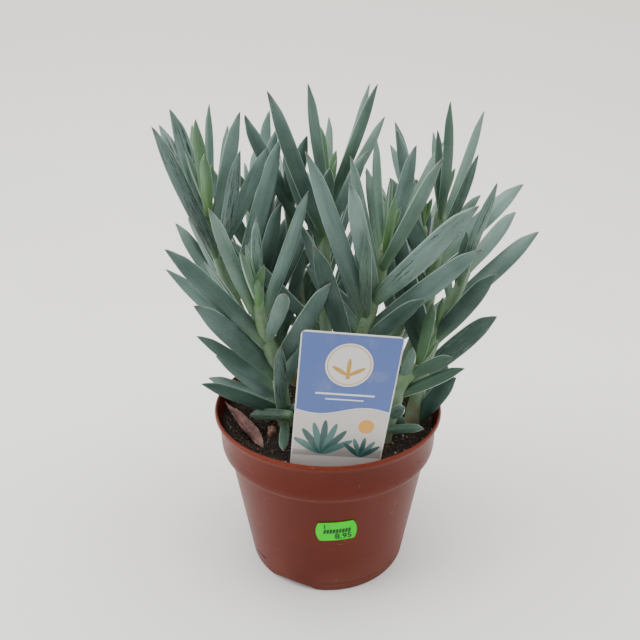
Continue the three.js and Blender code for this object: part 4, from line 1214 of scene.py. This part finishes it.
# Plant tag in mm: a tapered card with round corners that leans to the right, and a pointed stake in the soil
tagForm = {
    "thickness": 0.8, "top": 193.4, "rim": 109, "halfTop": 28.8, "halfRim": 26.8, "corner": 3.2,
    "shoulder": 99, "halfStake": 11, "stakeTop": 4, "stakeEnd": 12, "point": 77, "centre": (4.5, -62.4),
    "lean": 6.6, "turn": 4.5, "bevel": 0.15,
}
tagLook = {
    "blue": tone(82, 106, 170), "card": tone(222, 218, 212), "panel": tone(214, 208, 202),
    "ground": tone(196, 190, 184), "gold": tone(190, 148, 66), "orange": tone(222, 158, 52),
    "teal": tone(78, 118, 112), "pine": tone(52, 88, 84), "stone": tone(160, 156, 152),
    "white": tone(232, 232, 232),
}


# The print: generic leaf shapes, discs, plain rules and pale hills, in mm across and up from the rim.
# Discs and rings are (across, up, radius), blades (foot, length, width, turns), rules (up, half, thick),
# and skyline and hilltop are waves (rate, shift, rise, level)
printForm = {
    "sheet": 100, "skyline": (0.11, 0, 2.6, 35), "hilltop": (0.16, 2, 3, 11), "shaded": 34,
    "cardStrip": 4.5, "margin": 0.7, "sun": (15, 26, 4.6), "soft": 0.1,
    "disc": (0, 65, 13.5), "outerRing": (0, 65, 12.4), "innerRing": (0, 65, 11.9),
    "bigPlant": ((-9, 6), 11.5, 2.1, (150, 128, 108, 90, 72, 52, 30)), "shorter": 0.5,
    "smallPlant": ((14, 5), 6.8, 1.5, (140, 112, 84, 56, 36)),
    "sprig": ((0, 58.5), 5.4, 1.25, (30, 90, 150)), "berry": (0, 57.6, 1.3),
    "rules": [(46.4, 17, 0.55), (43, 11, 0.4)],
}


# Half the card's width at a height over the pot's rim
def halfCard(height):
    slope = (tagForm["halfTop"] - tagForm["halfRim"]) / (tagForm["top"] - tagForm["rim"])
    return height * slope + tagForm["halfRim"]


def tagMaterial():
    material, graph, own = shaderGraph("printed card")
    form, sheet, soft = printForm, printForm["sheet"], printForm["soft"]
    across, height, _ = graph.node("ShaderNodeUVMap", {"uv_map": "print"}).parts()
    across, height = across * sheet - sheet / 2, height * sheet

    # Inside a blade from its foot on, or a disc round its middle
    def blade(foot, long, wide, turn, start=1):
        c, s = math.cos(math.radians(turn)), math.sin(math.radians(turn))
        x, y = foot[0] + c * long * start, foot[1] + s * long * start
        lengthwise = ((across - x) * c + (height - y) * s) / long
        sideways = ((height - y) * c - (across - x) * s) / wide
        inside = (lengthwise * lengthwise + sideways * sideways) ** 0.5
        return 1 - inside.step(1 - 0.08 / wide, 1 + 0.08 / wide)

    def disc(x, y, radius):
        return blade((x, y), radius, radius, 0, 0)

    def rule(y, half, thick):
        sideways = 1 - abs(across).step(half - soft, half + soft)
        return sideways * (1 - abs(height - y).step(thick - soft, thick + soft))

    def wave(rate, shift, rise, level):
        return level + graph.maths("SINE", across * rate + shift) * rise

    def plant(name, colours, shorter=0):
        foot, long, wide, turns = form[name]
        middle = len(turns) // 2
        return [(blade(foot, long - shorter * abs(k - middle), wide, turn), colours[k % len(colours)])
                for k, turn in enumerate(turns)]

    boundary = wave(*form["skyline"])
    field = (height - boundary).step(-0.12, 0.12)
    hills = (height - wave(*form["hilltop"])).step(-0.4, 0.4)
    ring = disc(*form["outerRing"]) * (1 - disc(*form["innerRing"]))
    printTop = tagForm["top"] - tagForm["rim"] - form["margin"]
    inset = (halfCard(height) - form["margin"] - abs(across)).step(-soft, soft)
    inset = inset * (printTop - height).step(-soft, soft)
    strip = 1 - height.step(form["cardStrip"] - soft, form["cardStrip"] + soft)
    smudge = graph.noise(own, 70, 3).step(0.55, 0.72)
    grain = graph.noise(own, 900, 3)
    colour = graph.paint(
        tagLook, tagLook["ground"], ((height / form["shaded"]).step(0, 1) * 0.6, "panel"),
        ((1 - hills) * 0.8, "stone"), (disc(*form["sun"]), "orange"),
        *plant("bigPlant", ("teal", "pine"), form["shorter"]),
        *plant("smallPlant", ("pine", "teal")), (strip, "card"), (field, "blue"),
        (field * (height - boundary).near(0.5, 0.5), "white"), (disc(*form["disc"]), "card"), (ring, "gold"),
        *plant("sprig", ("gold",)), (disc(*form["berry"]), "gold"),
        *((rule(*line), "white") for line in form["rules"]), (1 - inset, "card"), (smudge * 0.12, "ground"))
    roughness = 0.36 + (grain - 0.5) * 0.1 + smudge * 0.15
    coat(graph, colour, roughness, (0.08, 0.3, grain), Specular_IOR_Level=0.5)
    return material


# The unprinted back and the cut edge of the card
def cardMaterial():
    material, graph, own = shaderGraph("plain card")
    grain, cloudy = graph.noise(own, 800, 3), graph.noise(own, 50, 2)
    colour = graph.mix(cloudy * 0.6 + grain * 0.4, tagLook["panel"], tagLook["white"])
    coat(graph, colour, 0.45 + (cloudy - 0.5) * 0.15, (0.12, 0.3, grain), Specular_IOR_Level=0.45)
    return material


def makeTag():
    form, shoulder = tagForm, tagForm["shoulder"]
    side = [(0, form["point"]), (form["halfStake"], shoulder - form["stakeEnd"]),
            (form["halfStake"], shoulder - form["stakeTop"]), (halfCard(shoulder - form["rim"]), shoulder)]
    side += [(form["halfTop"] - form["corner"] * (1 - math.sin(angle)),
              form["top"] - form["corner"] * (1 - math.cos(angle)))
             for angle in np.linspace(math.pi / 2, 0, 9)]
    outline = side + [(-x, z) for x, z in reversed(side[1:])]
    made = bmesh.new()
    front = made.faces.new([made.verts.new((x, z - form["rim"], form["thickness"] / 2)) for x, z in outline])
    back = bmesh.ops.extrude_face_region(made, geom=[front])["geom"]
    corners = [part for part in back if isinstance(part, bmesh.types.BMVert)]
    bmesh.ops.translate(made, vec=(0, 0, -form["thickness"]), verts=corners)
    bmesh.ops.recalc_face_normals(made, faces=made.faces)
    flatEdges = [edge for edge in made.edges if abs(edge.verts[0].co.z - edge.verts[1].co.z) < 1e-6]
    bmesh.ops.bevel(made, geom=flatEdges, offset=form["bevel"], segments=2, affect="EDGES")
    layer = made.loops.layers.uv.new("print")
    for face in made.faces:
        face.material_index = 0 if face.normal.z > 0.5 else 1
        for loop in face.loops:
            loop[layer].uv = (loop.vert.co.x / printForm["sheet"] + 0.5, loop.vert.co.y / printForm["sheet"])
    turn, lean = math.radians(form["turn"]), math.radians(-form["lean"])
    place = Matrix.Translation((*form["centre"], form["rim"])) @ Matrix.Rotation(turn, 4, "Z")
    place = place @ Matrix.Rotation(math.pi / 2, 4, "X") @ Matrix.Rotation(lean, 4, "Z")
    made.transform(Matrix.Scale(mm, 4) @ place)
    mesh = finishedMesh("plant_tag_printed", made)
    mesh.materials.append(tagMaterial())
    mesh.materials.append(cardMaterial())
    addPiece("plant_tag_printed", mesh, "tag_card", "plant_tag")
    print("plant tag made")


makeTag()


# Price label in mm: fluorescent paper with bulged ends round the front of the pot, and plain digits on it
labelForm = {
    "width": 22, "height": 16, "bulge": 2, "thickness": 0.2, "lift": 0.32, "level": 58.4, "x": 5.6,
    "tilt": 3, "columns": 56, "rows": 24, "rounding": 0.5, "roundFrom": 0.92,
}
labelLook = {
    "paper": tone(2, 222, 0), "shade": tone(2, 200, 0), "ink": tone(5, 8, 5), "faded": tone(12, 30, 10),
}

# Digits as text, size, across and up, and a row of slanted bars, all from the label's middle
inkForm = {
    "digits": [("1", 4.8, -7.2, 3), ("8.95", 6.4, 4.2, -6.7)], "bolder": 0.026, "rise": 0.03,
    "bars": 9, "left": -8.6, "spacing": 1.95, "low": -1.6, "high": 1.9, "wide": 1.5, "slant": 0.9,
}


# A point on the front of the pot, from the label's own across and up, lifted off the wall
def pointOnPot(across, upwards, lift):
    tilt = math.radians(labelForm["tilt"])
    sideways = across * math.cos(tilt) - upwards * math.sin(tilt)
    z = labelForm["level"] + across * math.sin(tilt) + upwards * math.cos(tilt)
    radius = bodyRadius(z) + lift
    angle = math.asin(labelForm["x"] / radius) + sideways / radius - math.pi / 2
    return Vector((radius * math.cos(angle), radius * math.sin(angle), z)) * mm


def labelMaterial():
    material, graph, own = shaderGraph("fluorescent paper")
    grain, crease = graph.noise(own, 900, 3), graph.noise(own, 120, 3, 0.65)
    colour = graph.mix(crease.step(0.3, 0.7) * 0.5 + grain * 0.3, labelLook["paper"], labelLook["shade"])
    # A faint emission in the paper's own colour is a painted glow that brightens the green
    coat(graph, colour, 0.6 + (grain - 0.5) * 0.2, (0.25, 0.4, grain * 0.4 + crease),
         Specular_IOR_Level=0.1, Emission_Color=colour, Emission_Strength=0.1)
    return material


def inkMaterial():
    material, graph, own = shaderGraph("stamped ink")
    grain = graph.noise(own, 1500, 3)
    colour = graph.mix(grain.step(0.5, 0.7) * 0.7, labelLook["ink"], labelLook["faded"])
    coat(graph, colour, 0.6 + (grain - 0.5) * 0.1, (0.1, 0.2, grain))
    return material


def makeLabel():
    form = labelForm
    columns, rows = form["columns"], form["rows"]
    vertices, faces = [], []
    for lift in (form["lift"], form["lift"] + form["thickness"]):
        for j in range(rows + 1):
            upwards = 2 * j / rows - 1
            rounded = max(0, abs(upwards) - form["roundFrom"]) / (1 - form["roundFrom"])
            half = form["width"] / 2 + form["bulge"] * (1 - upwards ** 2) - form["rounding"] * rounded
            for i in range(columns + 1):
                vertices.append(pointOnPot(half * (2 * i / columns - 1), upwards * form["height"] / 2, lift))
    layer = (columns + 1) * (rows + 1)
    for j in range(rows):
        for i in range(columns):
            a = j * (columns + 1) + i
            b = a + columns + 1
            faces += [(a, b, b + 1, a + 1), (layer + a, layer + a + 1, layer + b + 1, layer + b)]
    rim = [*range(columns), *(j * (columns + 1) + columns for j in range(rows))]
    rim += [rows * (columns + 1) + i for i in range(columns, 0, -1)]
    rim += [j * (columns + 1) for j in range(rows, 0, -1)]
    for a, b in zip(rim, rim[1:] + rim[:1]):
        faces.append((a, b, layer + b, layer + a))
    mesh = smoothMesh("price_label_paper", vertices, faces)
    mesh.set_sharp_from_angle(angle=sharpAngle)
    mesh.materials.append(labelMaterial())
    addPiece("price_label_paper", mesh, "label_paper", "price_label")


# Digits and short bars, drawn flat, made a mesh and then laid on the label
def makePrint():
    form = inkForm
    lift = labelForm["lift"] + labelForm["thickness"] + form["rise"]
    made = bmesh.new()
    for text, size, across, upwards in form["digits"]:
        curve = bpy.data.curves.new("digits", "FONT")
        curve.body, curve.size = text, size
        curve.align_x = "CENTER"
        curve.extrude, curve.offset = form["rise"], form["bolder"] * size
        curve.resolution_u = 4
        holder = addObject("digits", curve)
        scene = bpy.context.evaluated_depsgraph_get()
        flat = bpy.data.meshes.new_from_object(holder.evaluated_get(scene))
        bpy.data.objects.remove(holder)
        for vertex in flat.vertices:
            x, y, z = vertex.co
            vertex.co = pointOnPot(across + x, upwards + y, lift + z)
        made.from_mesh(flat)
    for k in range(form["bars"]):
        left, low, high = form["left"] + form["spacing"] * k, form["low"], form["high"]
        corners = [(left, low), (left + form["wide"], low), (left + form["wide"] + form["slant"], high),
                   (left + form["slant"], high)]
        lower, upper = ([made.verts.new(pointOnPot(x, y, lift + rise)) for x, y in corners]
                        for rise in (-form["rise"], form["rise"]))
        made.faces.new(reversed(lower))
        made.faces.new(upper)
        for a, b in ((0, 1), (1, 2), (2, 3), (3, 0)):
            made.faces.new((lower[a], lower[b], upper[b], upper[a]))
    mesh = finishedMesh("price_label_digits", made)
    mesh.materials.append(inkMaterial())
    addPiece("price_label_digits", mesh, "label_paper")
    print("price label made")


makeLabel()
makePrint()


# A plain pale floor that sweeps up behind into a backdrop, in metres; the sweep is its bend's radius
stageForm = {"front": -1.6, "bend": 0.75, "sweep": 0.45, "top": 2.2, "half": 2.4, "sunk": 0.0002, "steps": 12}
stageLook = {"grey": tone(234, 233, 231), "white": tone(241, 240, 238), "wall": tone(232, 226, 217)}


def makeStage():
    form = stageForm
    bend, sweep = form["bend"], form["sweep"]
    profile = [(form["front"], 0), (bend, 0)]
    for angle in np.linspace(0, math.pi / 2, form["steps"] + 1)[1:]:
        profile.append((bend + sweep * math.sin(angle), sweep * (1 - math.cos(angle))))
    profile.append((bend + sweep, form["top"]))
    vertices = [(x, y, z - form["sunk"]) for y, z in profile for x in (-form["half"], form["half"])]
    faces = [(2 * k, 2 * k + 1, 2 * k + 3, 2 * k + 2) for k in range(len(profile) - 1)]
    mesh = smoothMesh("backdrop", vertices, faces)
    material, graph, own = shaderGraph("pale backdrop")
    cloudy, grain = graph.noise(own, 3, 2), graph.noise(own, 220, 3)
    colour = graph.mix(cloudy, stageLook["grey"], stageLook["white"])
    colour = graph.paint(stageLook, colour, (own.parts()[2].step(0.0, 0.5), "wall"))
    coat(graph, colour, 0.85, (0.05, 1, grain), Specular_IOR_Level=0.1)
    mesh.materials.append(material)
    addObject("backdrop", mesh)


# Soft lights in metres and watts: place, aim, width and height, power and colour
lights = {
    "ceiling": ((0, 0.1, 1.9), (0, 0.1, 0), (2.2, 1.8), 50, (1, 0.99, 0.97)),
    "left window": ((-1.5, -0.2, 0.9), (0, 0, 0.15), (1.2, 1.4), 23, (0.96, 0.98, 1)),
    "right window": ((1.5, -0.1, 0.9), (0, 0, 0.15), (1.2, 1.4), 12, (0.98, 0.99, 1)),
}
room = {"Color": (0.97, 0.98, 1, 1), "Strength": 0.54}


def makeLight():
    for name, (place, aim, size, power, colour) in lights.items():
        light = bpy.data.lights.new(name, "AREA")
        light.shape = "RECTANGLE"
        light.size, light.size_y = size
        light.energy = power
        light.color = colour
        turned = (Vector(aim) - Vector(place)).to_track_quat("-Z", "Y").to_matrix().to_4x4()
        addObject(name, light).matrix_world = Matrix.Translation(place) @ turned
    world = bpy.data.worlds.new("soft room")
    world.use_nodes = True
    for name, value in room.items():
        world.node_tree.nodes["Background"].inputs[name].default_value = value
    bpy.context.scene.world = world


makeStage()
makeLight()
